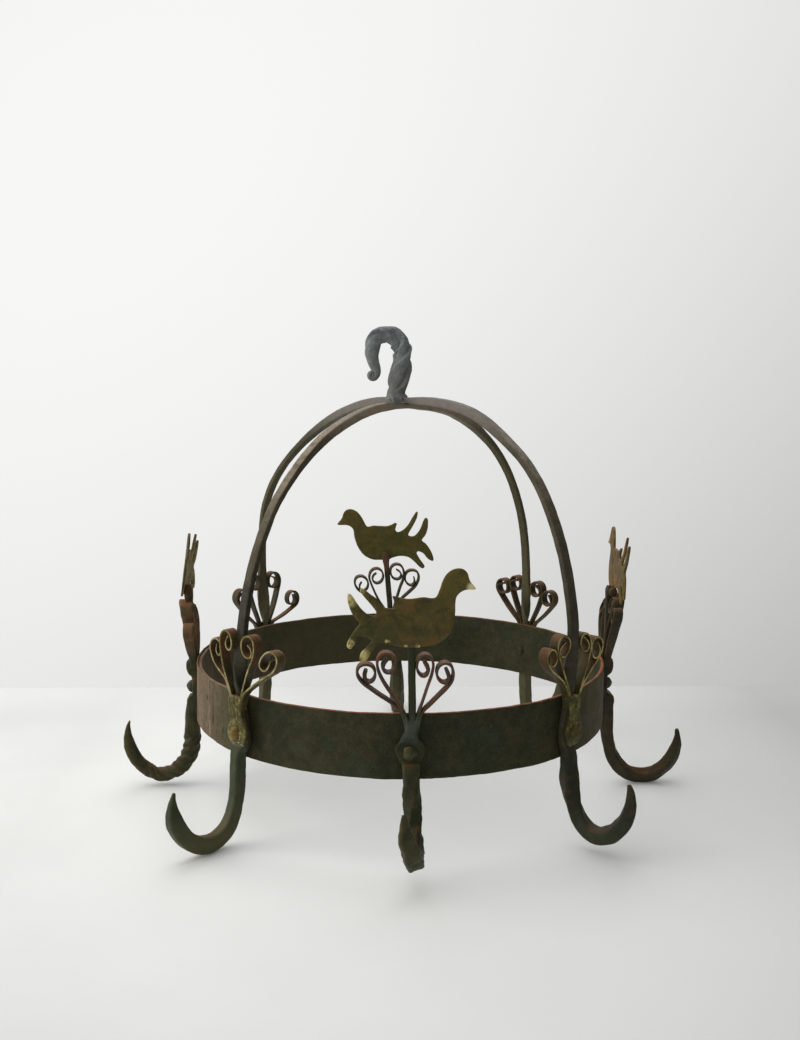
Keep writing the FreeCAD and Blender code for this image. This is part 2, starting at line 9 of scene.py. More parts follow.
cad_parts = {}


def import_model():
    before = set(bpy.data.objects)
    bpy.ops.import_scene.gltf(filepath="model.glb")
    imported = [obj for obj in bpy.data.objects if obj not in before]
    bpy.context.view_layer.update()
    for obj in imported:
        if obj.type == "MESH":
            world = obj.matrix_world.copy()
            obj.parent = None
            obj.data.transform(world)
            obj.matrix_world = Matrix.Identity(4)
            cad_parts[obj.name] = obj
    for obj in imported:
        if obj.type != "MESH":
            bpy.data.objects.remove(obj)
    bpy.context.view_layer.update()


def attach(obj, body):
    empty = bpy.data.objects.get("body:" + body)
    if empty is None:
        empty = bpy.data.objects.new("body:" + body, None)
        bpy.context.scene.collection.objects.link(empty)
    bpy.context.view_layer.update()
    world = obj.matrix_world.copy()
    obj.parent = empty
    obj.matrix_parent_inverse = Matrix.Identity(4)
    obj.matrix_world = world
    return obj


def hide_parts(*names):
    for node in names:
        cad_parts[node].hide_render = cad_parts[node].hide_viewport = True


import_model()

# Everything below is worked out in millimetres, with heights above the hoop's lower edge,
# and is put into the frame in metres at the end.
STAND = 68.0
R = 177.0
HOOP_T, HOOP_H = 3.0, 50.0
LAP_STEP = 1.4
RIVET_Z = 22.0
APEX_LOW, ARCH_T = 269.3, 4.8
APEX_HIGH = APEX_LOW + ARCH_T + 0.1


# ------------------------------------------------------------------ noise and curves
def _hash(ix, iy, iz, seed):
    h = (ix * 374761393 + iy * 668265263 + iz * 1103515245 + seed * 974711) & 0xFFFFFFFF
    h = ((h ^ (h >> 13)) * 1274126177) & 0xFFFFFFFF
    h = ((h ^ (h >> 16)) * 1911520717) & 0xFFFFFFFF
    return (h ^ (h >> 15)) / 4294967295.0


def vnoise(p, freq, seed=0):
    """Smooth value noise in -1..1 at points p (..., 3)."""
    q = np.asarray(p, float) * freq
    i = np.floor(q).astype(np.int64)
    f = q - i
    f = f * f * (3.0 - 2.0 * f)
    out = 0.0
    for dx in (0, 1):
        wx = f[..., 0] if dx else 1 - f[..., 0]
        for dy in (0, 1):
            wy = f[..., 1] if dy else 1 - f[..., 1]
            for dz in (0, 1):
                wz = f[..., 2] if dz else 1 - f[..., 2]
                out = out + wx * wy * wz * _hash(i[..., 0] + dx, i[..., 1] + dy, i[..., 2] + dz, seed)
    return out * 2.0 - 1.0


def fbm(p, freq, seed=0, octaves=3, gain=0.5):
    total, amp = 0.0, 1.0
    for k in range(octaves):
        total = total + amp * vnoise(p, freq * 2.03 ** k, seed + 17 * k)
        amp *= gain
    return total


def cells(p, freq, seed=0):
    """Distance to the nearest of a set of scattered points: hammer dents are round this."""
    q = np.asarray(p, float) * freq
    i = np.floor(q).astype(np.int64)
    best = np.full(q.shape[:-1], 9.0)
    for dx in (-1, 0, 1):
        for dy in (-1, 0, 1):
            for dz in (-1, 0, 1):
                jx, jy, jz = i[..., 0] + dx, i[..., 1] + dy, i[..., 2] + dz
                ox, oy, oz = _hash(jx, jy, jz, seed), _hash(jx, jy, jz, seed + 5), _hash(jx, jy, jz, seed + 9)
                d = (q[..., 0] - jx - ox) ** 2 + (q[..., 1] - jy - oy) ** 2 + (q[..., 2] - jz - oz) ** 2
                best = np.minimum(best, d)
    return np.sqrt(best)


def hermite(x, y, u, mono=False):
    """Cubic through the knots x, y (K, D), read at u. mono keeps it from overshooting."""
    x, y, u = np.asarray(x, float), np.asarray(y, float), np.asarray(u, float)
    h = np.diff(x)[:, None]
    d = np.diff(y, axis=0) / h
    m = np.zeros_like(y)
    m[0], m[-1] = d[0], d[-1]
    if len(x) > 2:
        a, b = d[:-1], d[1:]
        if mono:
            same = (a * b) > 0
            m[1:-1] = np.where(same, 2 * a * b / np.where(same, a + b, 1.0), 0.0)
        else:
            m[1:-1] = (h[1:] * a + h[:-1] * b) / (h[1:] + h[:-1])
    k = np.clip(np.searchsorted(x, u, side="right") - 1, 0, len(x) - 2)
    t = ((u - x[k]) / (x[k + 1] - x[k]))[:, None]
    hk = h[k]
    return ((2 * t ** 3 - 3 * t ** 2 + 1) * y[k] + (t ** 3 - 2 * t ** 2 + t) * hk * m[k]
            + (-2 * t ** 3 + 3 * t ** 2) * y[k + 1] + (t ** 3 - t ** 2) * hk * m[k + 1])


def follow(ctrl, step):
    """ctrl rows are x, y, z and any section values. Returns evenly spaced points and the values there."""
    ctrl = np.asarray(ctrl, float)
    x = np.r_[0, np.cumsum(np.linalg.norm(np.diff(ctrl[:, :3], axis=0), axis=1))]
    dense = np.linspace(0, x[-1], max(400, 30 * len(x)))
    p = hermite(x, ctrl[:, :3], dense)
    run = np.r_[0, np.cumsum(np.linalg.norm(np.diff(p, axis=0), axis=1))]
    n = max(8, int(round(run[-1] / step)) + 1)
    u = np.interp(np.linspace(0, run[-1], n), run, dense)
    return hermite(x, ctrl[:, :3], u), hermite(x, ctrl[:, 3:], u, mono=True)


def unit(v):
    return v / np.maximum(np.linalg.norm(v, axis=-1, keepdims=True), 1e-9)


def axes(az):
    a = math.radians(az)
    return np.array([math.sin(a), -math.cos(a), 0.0]), np.array([math.cos(a), math.sin(a), 0.0])


def place(srz, az):
    """(s, r, z) of a unit to the frame's axes."""
    e, t = axes(az)
    srz = np.asarray(srz, float)
    return srz[..., 0:1] * t + srz[..., 1:2] * e + srz[..., 2:3] * np.array([0, 0, 1.0])


# ------------------------------------------------------------------ shells
class Shells:
    """Closed skins gathered into one piece."""

    def __init__(self):
        self.verts, self.faces = [], []

    def add(self, verts, faces):
        base = len(self.verts)
        self.verts.extend(map(tuple, np.asarray(verts, float)))
        self.faces.extend([tuple(base + i for i in f) for f in faces])

    def tube(self, v, dome=0.2):
        """Rings v (n, m, 3) skinned and closed at both ends."""
        n, m = v.shape[:2]
        faces = []
        for i in range(n - 1):
            a, b = i * m, (i + 1) * m
            for j in range(m):
                k = (j + 1) % m
                faces.append((a + j, a + k, b + k, b + j))
        c0, c1 = v[0].mean(0), v[-1].mean(0)
        r0 = np.linalg.norm(v[0] - c0, axis=1).min()
        r1 = np.linalg.norm(v[-1] - c1, axis=1).min()
        t0, t1 = unit(c0 - v[1].mean(0)), unit(c1 - v[-2].mean(0))
        verts = np.vstack([v.reshape(-1, 3), c0 + t0 * r0 * dome, c1 + t1 * r1 * dome])
        p, q = n * m, n * m + 1
        for j in range(m):
            k = (j + 1) % m
            faces.append((p, k, j))
            faces.append((q, (n - 1) * m + j, (n - 1) * m + k))
        self.add(verts, faces)

    def make(self, name, material, replaced, slot):
        verts = np.asarray(self.verts)
        verts = verts + np.array([0, 0, STAND])
        me = bpy.data.meshes.new(name)
        me.from_pydata([tuple(v) for v in verts * 0.001], [], self.faces)
        bm = bmesh.new()
        bm.from_mesh(me)
        bmesh.ops.recalc_face_normals(bm, faces=bm.faces)
        bm.to_mesh(me)
        bm.free()
        me.polygons.foreach_set("use_smooth", [True] * len(me.polygons))
        me.set_sharp_from_angle(angle=math.radians(48))
        me.materials.append(material)
        ob = bpy.data.objects.new(name, me)
        bpy.context.scene.collection.objects.link(ob)
        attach(ob, "root")
        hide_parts(*replaced)
        return ob


def rrect(w, t, rc, ns, nt, nc):
    """Rounded rectangles, one per station: (n, m, 2)."""
    hw, ht = np.asarray(w) / 2.0, np.asarray(t) / 2.0
    rc = np.minimum(np.minimum(np.asarray(rc), hw * 0.98), ht * 0.98)
    cols = []
    signs = [(1, 1), (-1, 1), (-1, -1), (1, -1)]
    ends = []
    for k, (sx, sy) in enumerate(signs):
        cx, cy = sx * (hw - rc), sy * (ht - rc)
        pts = []
        for j in range(nc + 1):
            a = math.radians(90.0 * k + 90.0 * j / nc)
            pts.append((cx + rc * math.cos(a), cy + rc * math.sin(a)))
        ends.append(pts)
    for k in range(4):
        cols.extend(ends[k])
        a, b = ends[k][-1], ends[(k + 1) % 4][0]
        n = ns if k % 2 == 0 else nt
        for j in range(1, n):
            f = j / n
            cols.append((a[0] * (1 - f) + b[0] * f, a[1] * (1 - f) + b[1] * f))
    return np.stack([np.stack(c, -1) for c in cols], 1)


def bar(c, wdir, w, t, rc, twist=None, ns=3, nt=3, nc=3):
    """Rings of a bar along c: w wide along wdir, t thick across it."""
    tan = unit(np.gradient(c, axis=0))
    wd = np.broadcast_to(np.asarray(wdir, float), c.shape)
    wv = unit(wd - (wd * tan).sum(1, keepdims=True) * tan)
    bv = np.cross(tan, wv)
    xy = rrect(w, t, rc, ns, nt, nc)
    if twist is not None:
        ca, sa = np.cos(twist)[:, None], np.sin(twist)[:, None]
        xy = np.stack([xy[..., 0] * ca - xy[..., 1] * sa, xy[..., 0] * sa + xy[..., 1] * ca], -1)
    return c[:, None] + xy[..., 0:1] * wv[:, None] + xy[..., 1:2] * bv[:, None]


def hammered(v, c, amp, freq, seed, dent=0.0, dent_freq=0.11):
    """Moves a bar's skin in and out: soft unevenness and round hammer dents."""
    out = unit(v - c[:, None])
    n = amp * fbm(v, freq, seed, 3)
    if dent:
        n = n - dent * np.clip(0.55 - cells(v, dent_freq, seed + 3), 0, 1) / 0.55
    return v + out * n[..., None]


# ------------------------------------------------------------------ materials
class Graph:
    """Short names for the shader nodes that the finishes are made of."""

    def __init__(self, name):
        self.mat = bpy.data.materials.new(name)
        self.mat.use_nodes = True
        self.t = self.mat.node_tree
        self.t.nodes.clear()
        self.out = self.t.nodes.new("ShaderNodeOutputMaterial")
        self.bsdf = self.t.nodes.new("ShaderNodeBsdfPrincipled")
        self.t.links.new(self.bsdf.outputs[0], self.out.inputs[0])
        self.co = self.t.nodes.new("ShaderNodeTexCoord").outputs["Object"]
        geo = self.t.nodes.new("ShaderNodeNewGeometry")
        self.normal, self.point = geo.outputs["Normal"], geo.outputs["Pointiness"]

    def put(self, node, key, value):
        if hasattr(value, "is_output"):
            self.t.links.new(value, node.inputs[key])
        else:
            node.inputs[key].default_value = value

    def moved(self, offset, scale=(1, 1, 1)):
        n = self.t.nodes.new("ShaderNodeMapping")
        n.inputs["Location"].default_value = offset
        n.inputs["Scale"].default_value = scale
        self.t.links.new(self.co, n.inputs["Vector"])
        return n.outputs[0]

    def noise(self, scale, detail=4.0, rough=0.6, distort=0.0, seed=0.0, stretch=(1, 1, 1)):
        n = self.t.nodes.new("ShaderNodeTexNoise")
        n.inputs["Scale"].default_value = scale
        n.inputs["Detail"].default_value = detail
        n.inputs["Roughness"].default_value = rough
        n.inputs["Distortion"].default_value = distort
        self.t.links.new(self.moved((seed * 1.37, seed * -0.73, seed * 2.11), stretch), n.inputs["Vector"])
        return n.outputs[0]

    def voronoi(self, scale, seed=0.0, feature="F1"):
        n = self.t.nodes.new("ShaderNodeTexVoronoi")
        n.feature = feature
        n.inputs["Scale"].default_value = scale
        self.t.links.new(self.moved((seed, seed * 0.6, -seed)), n.inputs["Vector"])
        return n.outputs["Distance"]

    def math(self, op, a, b=0.0, clamp=False):
        n = self.t.nodes.new("ShaderNodeMath")
        n.operation = op
        n.use_clamp = clamp
        self.put(n, 0, a)
        self.put(n, 1, b)
        return n.outputs[0]

    def ramp(self, value, lo, hi, a=0.0, b=1.0):
        n = self.t.nodes.new("ShaderNodeMapRange")
        n.interpolation_type = "SMOOTHSTEP"
        self.put(n, "Value", value)
        for k, x in (("From Min", lo), ("From Max", hi), ("To Min", a), ("To Max", b)):
            n.inputs[k].default_value = x
        return n.outputs[0]

    def mix(self, fac, a, b, blend="MIX"):
        n = self.t.nodes.new("ShaderNodeMix")
        n.data_type = "RGBA"
        n.blend_type = blend
        self.put(n, 0, fac)
        for k, x in ((6, a), (7, b)):
            if hasattr(x, "is_output"):
                self.t.links.new(x, n.inputs[k])
            else:
                n.inputs[k].default_value = (*x, 1.0)
        return n.outputs[2]

    def facing(self, direction):
        """How far the surface looks along a fixed direction, -1 to 1."""
        n = self.t.nodes.new("ShaderNodeVectorMath")
        n.operation = "DOT_PRODUCT"
        self.t.links.new(self.normal, n.inputs[0])
        n.inputs[1].default_value = direction
        return n.outputs["Value"]

    def along(self, direction):
        """How far a point lies along a fixed direction, in metres."""
        n = self.t.nodes.new("ShaderNodeVectorMath")
        n.operation = "DOT_PRODUCT"
        self.t.links.new(self.co, n.inputs[0])
        n.inputs[1].default_value = direction
        return n.outputs["Value"]

    def near(self, point_mm, radius_mm, soft_mm):
        """1 inside a ball about a point of the part, 0 outside."""
        n = self.t.nodes.new("ShaderNodeVectorMath")
        n.operation = "DISTANCE"
        self.t.links.new(self.co, n.inputs[0])
        n.inputs[1].default_value = [x * 0.001 for x in point_mm]
        return self.ramp(n.outputs["Value"], (radius_mm - soft_mm) * 0.001, (radius_mm + soft_mm) * 0.001, 1.0, 0.0)

    def bump(self, height, strength, distance, under=None):
        n = self.t.nodes.new("ShaderNodeBump")
        n.inputs["Strength"].default_value = strength
        n.inputs["Distance"].default_value = distance
        self.t.links.new(height, n.inputs["Height"])
        if under is not None:
            self.t.links.new(under, n.inputs["Normal"])
        return n.outputs[0]


def lin(r, g, b):
    """A colour given as 0..255 display values, as the linear values a shader takes."""
    out = []
    for v in (r, g, b):
        v = v / 255.0
        out.append(v / 12.92 if v <= 0.04045 else ((v + 0.055) / 1.055) ** 2.4)
    return tuple(out)


def iron(name, dark, mid, rust, seed=0.0, rust_level=0.5, top_rust_and_sheen=0.5, top_colour=(104, 52, 26), edge=0.35, edge_colour=(120, 86, 52),
         rough=(0.42, 0.72), grain=1.0, green=0.25, gain=(1.2, 1.2, 1.0), spec=0.19, extra=None):
    """Old iron: dark scale, brown bloom, rust in patches and along what looks up, wear on the edges, fine pitting.
    Where top_colour is pale, as on the arches, what looks up gets painted sheen, partly dust, in place of rust.
    """
    g = Graph(name)
    big = g.noise(26.0, 5.0, 0.62, 0.35, seed)
    middle = g.noise(120.0, 6.0, 0.66, 0.25, seed + 3.1)
    fine = g.noise(620.0, 4.0, 0.7, 0.0, seed + 5.7)
    patch = g.noise(64.0, 7.0, 0.7, 0.6, seed + 9.3)
    pits = g.voronoi(420.0, seed + 1.7)
    tone = g.math("ADD", g.math("MULTIPLY", big, 0.5), g.math("MULTIPLY", middle, 0.5))
    col = g.mix(g.ramp(tone, 0.36, 0.66), lin(*dark), lin(*mid))
    col = g.mix(g.math("MULTIPLY", g.ramp(g.noise(38.0, 5.0, 0.6, 0.4, seed + 21.0), 0.5, 0.7), green), col, lin(44, 58, 44))
    rmask = g.ramp(g.math("ADD", g.math("MULTIPLY", patch, 0.75), g.math("MULTIPLY", fine, 0.25)), 0.66 - 0.22 * rust_level, 0.80 - 0.2 * rust_level)
    col = g.mix(g.math("MULTIPLY", rmask, 0.85), col, lin(*rust))
    up = g.ramp(g.facing((0, 0, 1)), 0.35, 0.95)
    upm = g.math("MULTIPLY", up, g.ramp(middle, 0.28, 0.62, 0.25, 1.0))
    # what looks up takes top_colour: rust on most parts, painted sheen with some dust where it is pale grey
    col = g.mix(g.math("MULTIPLY", upm, top_rust_and_sheen), col, lin(*top_colour))
    wear = g.math("MULTIPLY", g.ramp(g.point, 0.515, 0.60), g.ramp(middle, 0.35, 0.65))
    col = g.mix(g.math("MULTIPLY", wear, edge), col, lin(*edge_colour))
    dust = g.ramp(fine, 0.30, 0.72, 0.72, 1.28)
    grey = g.t.nodes.new("ShaderNodeCombineColor")
    for k in range(3):
        g.t.links.new(dust, grey.inputs[k])
    col = g.mix(0.8 * grain, col, grey.outputs[0], "MULTIPLY")
    col = g.mix(1.0, col, gain, "MULTIPLY")
    if extra:
        col = extra(g, col, dict(big=big, middle=middle, fine=fine, patch=patch, up=up))
    g.t.links.new(col, g.bsdf.inputs["Base Color"])
    g.t.links.new(g.ramp(g.math("ADD", g.math("MULTIPLY", patch, 0.6), g.math("MULTIPLY", fine, 0.4)), 0.34, 0.68, rough[0], rough[1]), g.bsdf.inputs["Roughness"])
    g.bsdf.inputs["Metallic"].default_value = 0.0
    g.bsdf.inputs["Specular IOR Level"].default_value = spec
    b = g.bump(middle, 0.35, 0.0009)
    b = g.bump(fine, 0.30, 0.0004, b)
    b = g.bump(g.ramp(pits, 0.0, 0.35), 0.16, 0.0003, b)
    g.t.links.new(b, g.bsdf.inputs["Normal"])
    return g.mat


# ------------------------------------------------------------------ scroll strips
def strip_path(root, knee, eye, radius, turns=1.0):
    """(s, z) points of one scroll right of the middle: up, out at the knee, round the eye towards the middle, end turned in."""
    dx, dz = eye[0] - knee[0], eye[1] - knee[1]
    dist = math.hypot(dx, dz)
    heading = math.atan2(dz, dx) - math.asin(min(0.98, radius / dist))
    length = math.sqrt(max(dist * dist - radius * radius, 1.0))
    touch = (knee[0] + length * math.cos(heading), knee[1] + length * math.sin(heading))
    pts = [root]
    for f in np.linspace(0, 1, 8)[1:]:
        pts.append((root[0] + (knee[0] - root[0]) * f, root[1] + (knee[1] - root[1]) * f))
    for f in np.linspace(0, 1, 22)[1:]:
        bow = 0.9 * math.sin(math.pi * f)
        pts.append((knee[0] + (touch[0] - knee[0]) * f + bow * math.sin(heading), knee[1] + (touch[1] - knee[1]) * f - bow * math.cos(heading)))
    x, z = touch
    h = heading
    ds = 0.55
    total = 2 * math.pi * radius * turns
    run = 0.0
    while run < total:
        f = run / total
        r = radius * (1.0 - 0.24 * f)
        h += ds / r
        x, z = x + ds * math.cos(h), z + ds * math.sin(h)
        pts.append((x, z))
        run += ds
    for k in range(17):                       # the end leaves the coil and points into the eye
        r = 2.7 if k < 6 else 16.0
        h += ds / r
        x, z = x + ds * math.cos(h), z + ds * math.sin(h)
        pts.append((x, z))
    p = np.array(pts)
    for _ in range(5):
        p[1:-1] = 0.25 * p[:-2] + 0.5 * p[1:-1] + 0.25 * p[2:]
    return p


def traced(points):
    """A strip's own line through listed (s, z) points, from its root to its end in the eye."""
    p = np.asarray(points, float)
    x = np.r_[0, np.cumsum(np.linalg.norm(np.diff(p, axis=0), axis=1))]
    q = hermite(x, p, np.linspace(0, x[-1], int(x[-1] / 0.6)))
    for _ in range(7):
        q[1:-1] = 0.25 * q[:-2] + 0.5 * q[1:-1] + 0.25 * q[2:]
    return q


def strip(shells, az, path, r_mid, wide, thick, seed, lean=0.0, side=1, middle=0.0, sweep=1.5, blunt=1.0, slim=1.0):
    """One scroll strip as a closed ribbon with rounded edges, uneven as hand work is."""
    s = path[:, 0] * side + middle
    z = path[:, 1]
    f = np.linspace(0, 1, len(s))
    r = r_mid + lean * np.clip((z - 50.0) / 45.0, 0, 1.4) ** sweep + 0.5 * np.sin(6 * f + seed)
    ctrl = np.c_[s, r, z]
    run = np.r_[0, np.cumsum(np.linalg.norm(np.diff(ctrl, axis=0), axis=1))]
    n = int(run[-1] / 0.95)
    u = np.linspace(0, run[-1], n)
    loc = np.c_[np.interp(u, run, ctrl[:, 0]), np.interp(u, run, ctrl[:, 1]), np.interp(u, run, ctrl[:, 2])]
    for _ in range(2):
        loc[1:-1] = 0.25 * loc[:-2] + 0.5 * loc[1:-1] + 0.25 * loc[2:]
    f = np.linspace(0, 1, n)
    w = wide * hermite([0, 0.12, 0.4, 0.7, 0.93, 1.0], [[0.74], [0.8], [0.95], [1.0], [0.94], [0.72]], f, True)[:, 0]
    w = w * (1 + 0.05 * vnoise(np.c_[u * 0.09, f * 0, f * 0 + seed], 1.0, int(seed * 10) + 3))
    t = thick * hermite([0, 0.15, 0.6, 0.9, 1.0], [[1.25], [1.15], [1.0], [0.9], [0.62]], f, True)[:, 0]
    step = np.clip((u - (run[-1] - 8.5)) / 3.5, 0, 1)
    t = t * (1 + (blunt - 1) * step * step * (3 - 2 * step))
    shaft = np.clip((f - 0.14) / 0.08, 0, 1) * np.clip((0.56 - f) / 0.08, 0, 1)
    t = t * (1 - (1 - slim) * shaft * shaft * (3 - 2 * shaft))
    c = place(loc, az)
    e, _ = axes(az)
    v = bar(c, e, w, t, t * 0.32, None, 4, 1, 2)
    v = hammered(v, c, 0.10, 0.16, int(seed * 7) + 31)
    shells.tube(v, 0.0)


def spray_strips(shells, az, eyes, roots, z0, r_mid, wide, seed, lean=0.0, middle=0.0, thick=1.9, oval=(6.7, 7.5), sweep=1.5, blunt=1.0, slim=1.0):
    """Four strips. Each of eyes is a scroll's centre, or its whole line where that was measured."""
    inner, outer = roots
    leans, wides, slims = np.broadcast_to(lean, 4), np.broadcast_to(wide, 4), np.broadcast_to(slim, 4)
    for i, eye in enumerate(eyes):
        if len(eye) > 2:
            strip(shells, az, traced(eye), r_mid, wides[i], thick, seed + i * 0.9, leans[i], sweep=sweep, blunt=blunt, slim=slims[i])
            continue
        s, z = eye
        side = -1 if i < 2 else 1
        far = i in (0, 3)
        root_s = outer if far else inner
        rel = abs(s - middle)
        knee = (root_s + (2.0 + 0.03 * rel if far else 1.1), z0 + (8.4 if far else 10.5))
        a, b = (x * (1.0 + 0.04 * math.sin(seed * 3 + i * 2.1)) for x in oval)
        k = a / b                             # worked out as a round coil, then drawn up to its height
        path = strip_path((root_s, (z0 - z) * k), (knee[0], (knee[1] - z) * k), (rel, 0.0), a, 0.93 + 0.05 * math.sin(seed + i))
        path[:, 1] = path[:, 1] / k + z
        strip(shells, az, path, r_mid, wides[i], thick, seed + i * 0.9, leans[i], side, middle, sweep, blunt, slims[i])


# ------------------------------------------------------------------ hooks
# Centre lines from the point to the shank: s, r, z, thickness in the hook's plane, width across it
HOOKS = {
    "front": [(-7.6, 236.6, -3.6, 2.2, 3.0), (-7.4, 238.2, -9.0, 3.6, 6.6), (-6.6, 239.0, -15.4, 5.2, 9.8), (-5.4, 238.6, -22.2, 6.8, 12.0),
              (-3.0, 236.2, -29.6, 8.4, 13.0), (-1.2, 230.8, -37.4, 10.0, 13.4), (0.3, 222.6, -44.0, 11.4, 13.2), (1.3, 212.6, -47.0, 12.0, 12.8),
              (1.9, 203.0, -45.8, 12.0, 12.2), (2.1, 194.4, -40.8, 11.7, 12.0), (1.9, 188.0, -33, 11.4, 11.8), (1.3, 184.6, -23, 11.2, 11.8),
              (0.4, 183.0, -12, 11.0, 11.8), (0.3, 182.6, 0, 10.8, 12.2)],
    "right": [(0.4, 248.4, -19.0, 2.6, 2.8), (0.4, 249.2, -26.2, 5.4, 5.4), (0.3, 248.4, -34, 8.6, 8.0), (0.2, 245.2, -43, 11.0, 9.6),
              (0, 239.0, -52, 12.2, 10.4), (0, 230.2, -58.8, 12.6, 10.6), (0, 218.4, -61.7, 12.4, 10.6), (0, 206.8, -59.7, 11.8, 10.4),
              (0, 196.7, -52.5, 11.0, 10.2), (0, 189.5, -41, 10.6, 10.2), (0, 186.0, -28, 10.8, 10.2), (0, 184.4, -14, 11.8, 10.2), (0, 183.5, 0, 12.6, 10.6)],
    "back": [(-1.4, 246.4, -15.5, 2.6, 3.0), (-1.2, 247.6, -23, 5.2, 5.6), (-1.0, 246.8, -32, 8.6, 8.4), (-0.6, 243.4, -42, 11.2, 10.2),
             (-0.2, 237.0, -51.5, 12.4, 10.8), (0, 228.0, -58.4, 12.8, 10.8), (0, 216.5, -61.6, 12.4, 10.6), (0, 205.0, -59.4, 11.8, 10.6),
             (0, 195.2, -52.0, 11.2, 10.4), (0, 188.4, -41, 10.8, 10.4), (0, 184.6, -28, 10.6, 10.6), (0, 183.0, -14, 10.5, 10.6), (0, 182.5, 0, 10.5, 10.8)],
    "left": [(0.6, 240.0, -9.0, 2.2, 2.6), (0.6, 241.4, -14, 4.0, 4.2), (0.5, 241.8, -20, 6.4, 6.0), (0.4, 241.4, -27, 9.0, 8.0),
             (0.2, 239.2, -35.5, 11.2, 9.6), (0, 234.2, -45, 12.0, 10.6), (0, 226.6, -52.6, 12.2, 10.8), (0, 214.0, -58.2, 12.4, 10.8),
             (0, 202.0, -55.2, 13.4, 12.0), (0, 192.9, -47.8, 14.0, 12.8), (0, 187.5, -38.2, 14.4, 13.2), (0, 185.3, -26, 14.2, 13.0),
             (0, 185.0, -14, 13.0, 12.0), (0, 185.6, 0, 10.8, 11.0)],
    "front_left": [(0.4, 243.2, -12.0, 2.6, 2.9), (0.4, 244.6, -17.8, 5.4, 5.4), (0.3, 244.9, -23.8, 8.0, 7.4), (0.2, 244.2, -30.0, 10.4, 9.0),
                   (0, 241.8, -38.4, 12.4, 10.0), (0, 236.5, -47.4, 13.2, 10.6), (0, 228.5, -55.4, 13.4, 10.8), (0, 217.0, -60.8, 13.2, 10.8),
                   (0, 206.0, -61.0, 12.6, 10.6), (0, 196.5, -56.2, 11.8, 10.4), (0, 189.5, -47.6, 10.9, 10.3), (0, 185.4, -36.0, 10.5, 10.3),
                   (0, 183.4, -24.0, 10.4, 10.3), (0, 182.6, -10.0, 10.4, 10.3), (0, 182.3, 2.0, 10.4, 10.4)],
    "front_right": [(-0.6, 239.4, -6.4, 3.0, 3.4), (-0.5, 240.8, -11.4, 5.6, 5.8), (-0.4, 241.4, -17.4, 8.2, 7.8), (-0.2, 240.6, -24.4, 10.6, 9.4),
                    (0, 237.6, -33.4, 12.4, 10.4), (0, 231.5, -42.6, 13.2, 10.8), (0, 222.5, -50.2, 13.2, 10.8), (0, 211.5, -54.0, 12.8, 10.8),
                    (0, 202.5, -51.8, 12.2, 10.8), (0, 195.0, -45.2, 11.9, 11.0), (-0.3, 190.0, -36.0, 12.0, 11.6), (-0.5, 186.8, -25.4, 12.8, 12.8),
                    (-0.3, 184.6, -14.0, 12.6, 12.8), (0.8, 183.2, -5.0, 11.2, 11.3), (1.3, 182.3, 3.0, 10.4, 10.5)],
    "back_right": [(0.6, 244.6, -11.0, 2.6, 3.0), (0.5, 246.0, -17.4, 5.4, 5.4), (0.4, 246.0, -24.0, 8.2, 7.4), (0.2, 244.8, -31.0, 10.4, 9.2),
                   (0, 241.4, -39.4, 12.2, 10.2), (0, 235.6, -48.0, 13.0, 10.6), (0, 227.0, -55.4, 13.2, 10.8), (0, 216.0, -60.0, 13.0, 10.8),
                   (0, 205.2, -59.6, 12.4, 10.6), (0, 195.8, -54.4, 11.6, 10.4), (0, 189.2, -45.6, 10.9, 10.4), (0, 185.2, -34.0, 10.5, 10.4),
                   (0, 183.3, -22.0, 10.4, 10.3), (0, 182.6, -9.0, 10.4, 10.3), (0, 182.3, 2.0, 10.4, 10.4)],
    "back_left": [(-0.4, 242.4, -8.6, 2.6, 3.0), (-0.4, 244.4, -15.4, 5.4, 5.4), (-0.3, 245.0, -23.0, 8.2, 7.6), (-0.2, 243.8, -31.4, 10.8, 9.4),
                  (0, 240.0, -40.4, 12.4, 10.4), (0, 233.6, -49.0, 13.2, 10.8), (0, 224.4, -56.6, 13.2, 10.8), (0, 213.4, -60.2, 12.8, 10.8),
                  (0, 203.4, -58.2, 12.2, 10.6), (0, 194.6, -52.0, 11.5, 10.4), (0, 188.6, -43.0, 10.9, 10.4), (0, 185.0, -32.0, 10.5, 10.4),
                  (0, 183.3, -20.0, 10.4, 10.3), (0, 182.6, -8.0, 10.4, 10.3), (0, 182.3, 3.0, 10.4, 10.4)],
}
# turns of the bar between the hook's belly and the hoop, in degrees
TWISTS = {"front": 210.0, "right": 45.0, "back": 90.0, "left": 740.0, "front_left": 0.0, "front_right": 120.0, "back_right": 0.0, "back_left": 60.0}

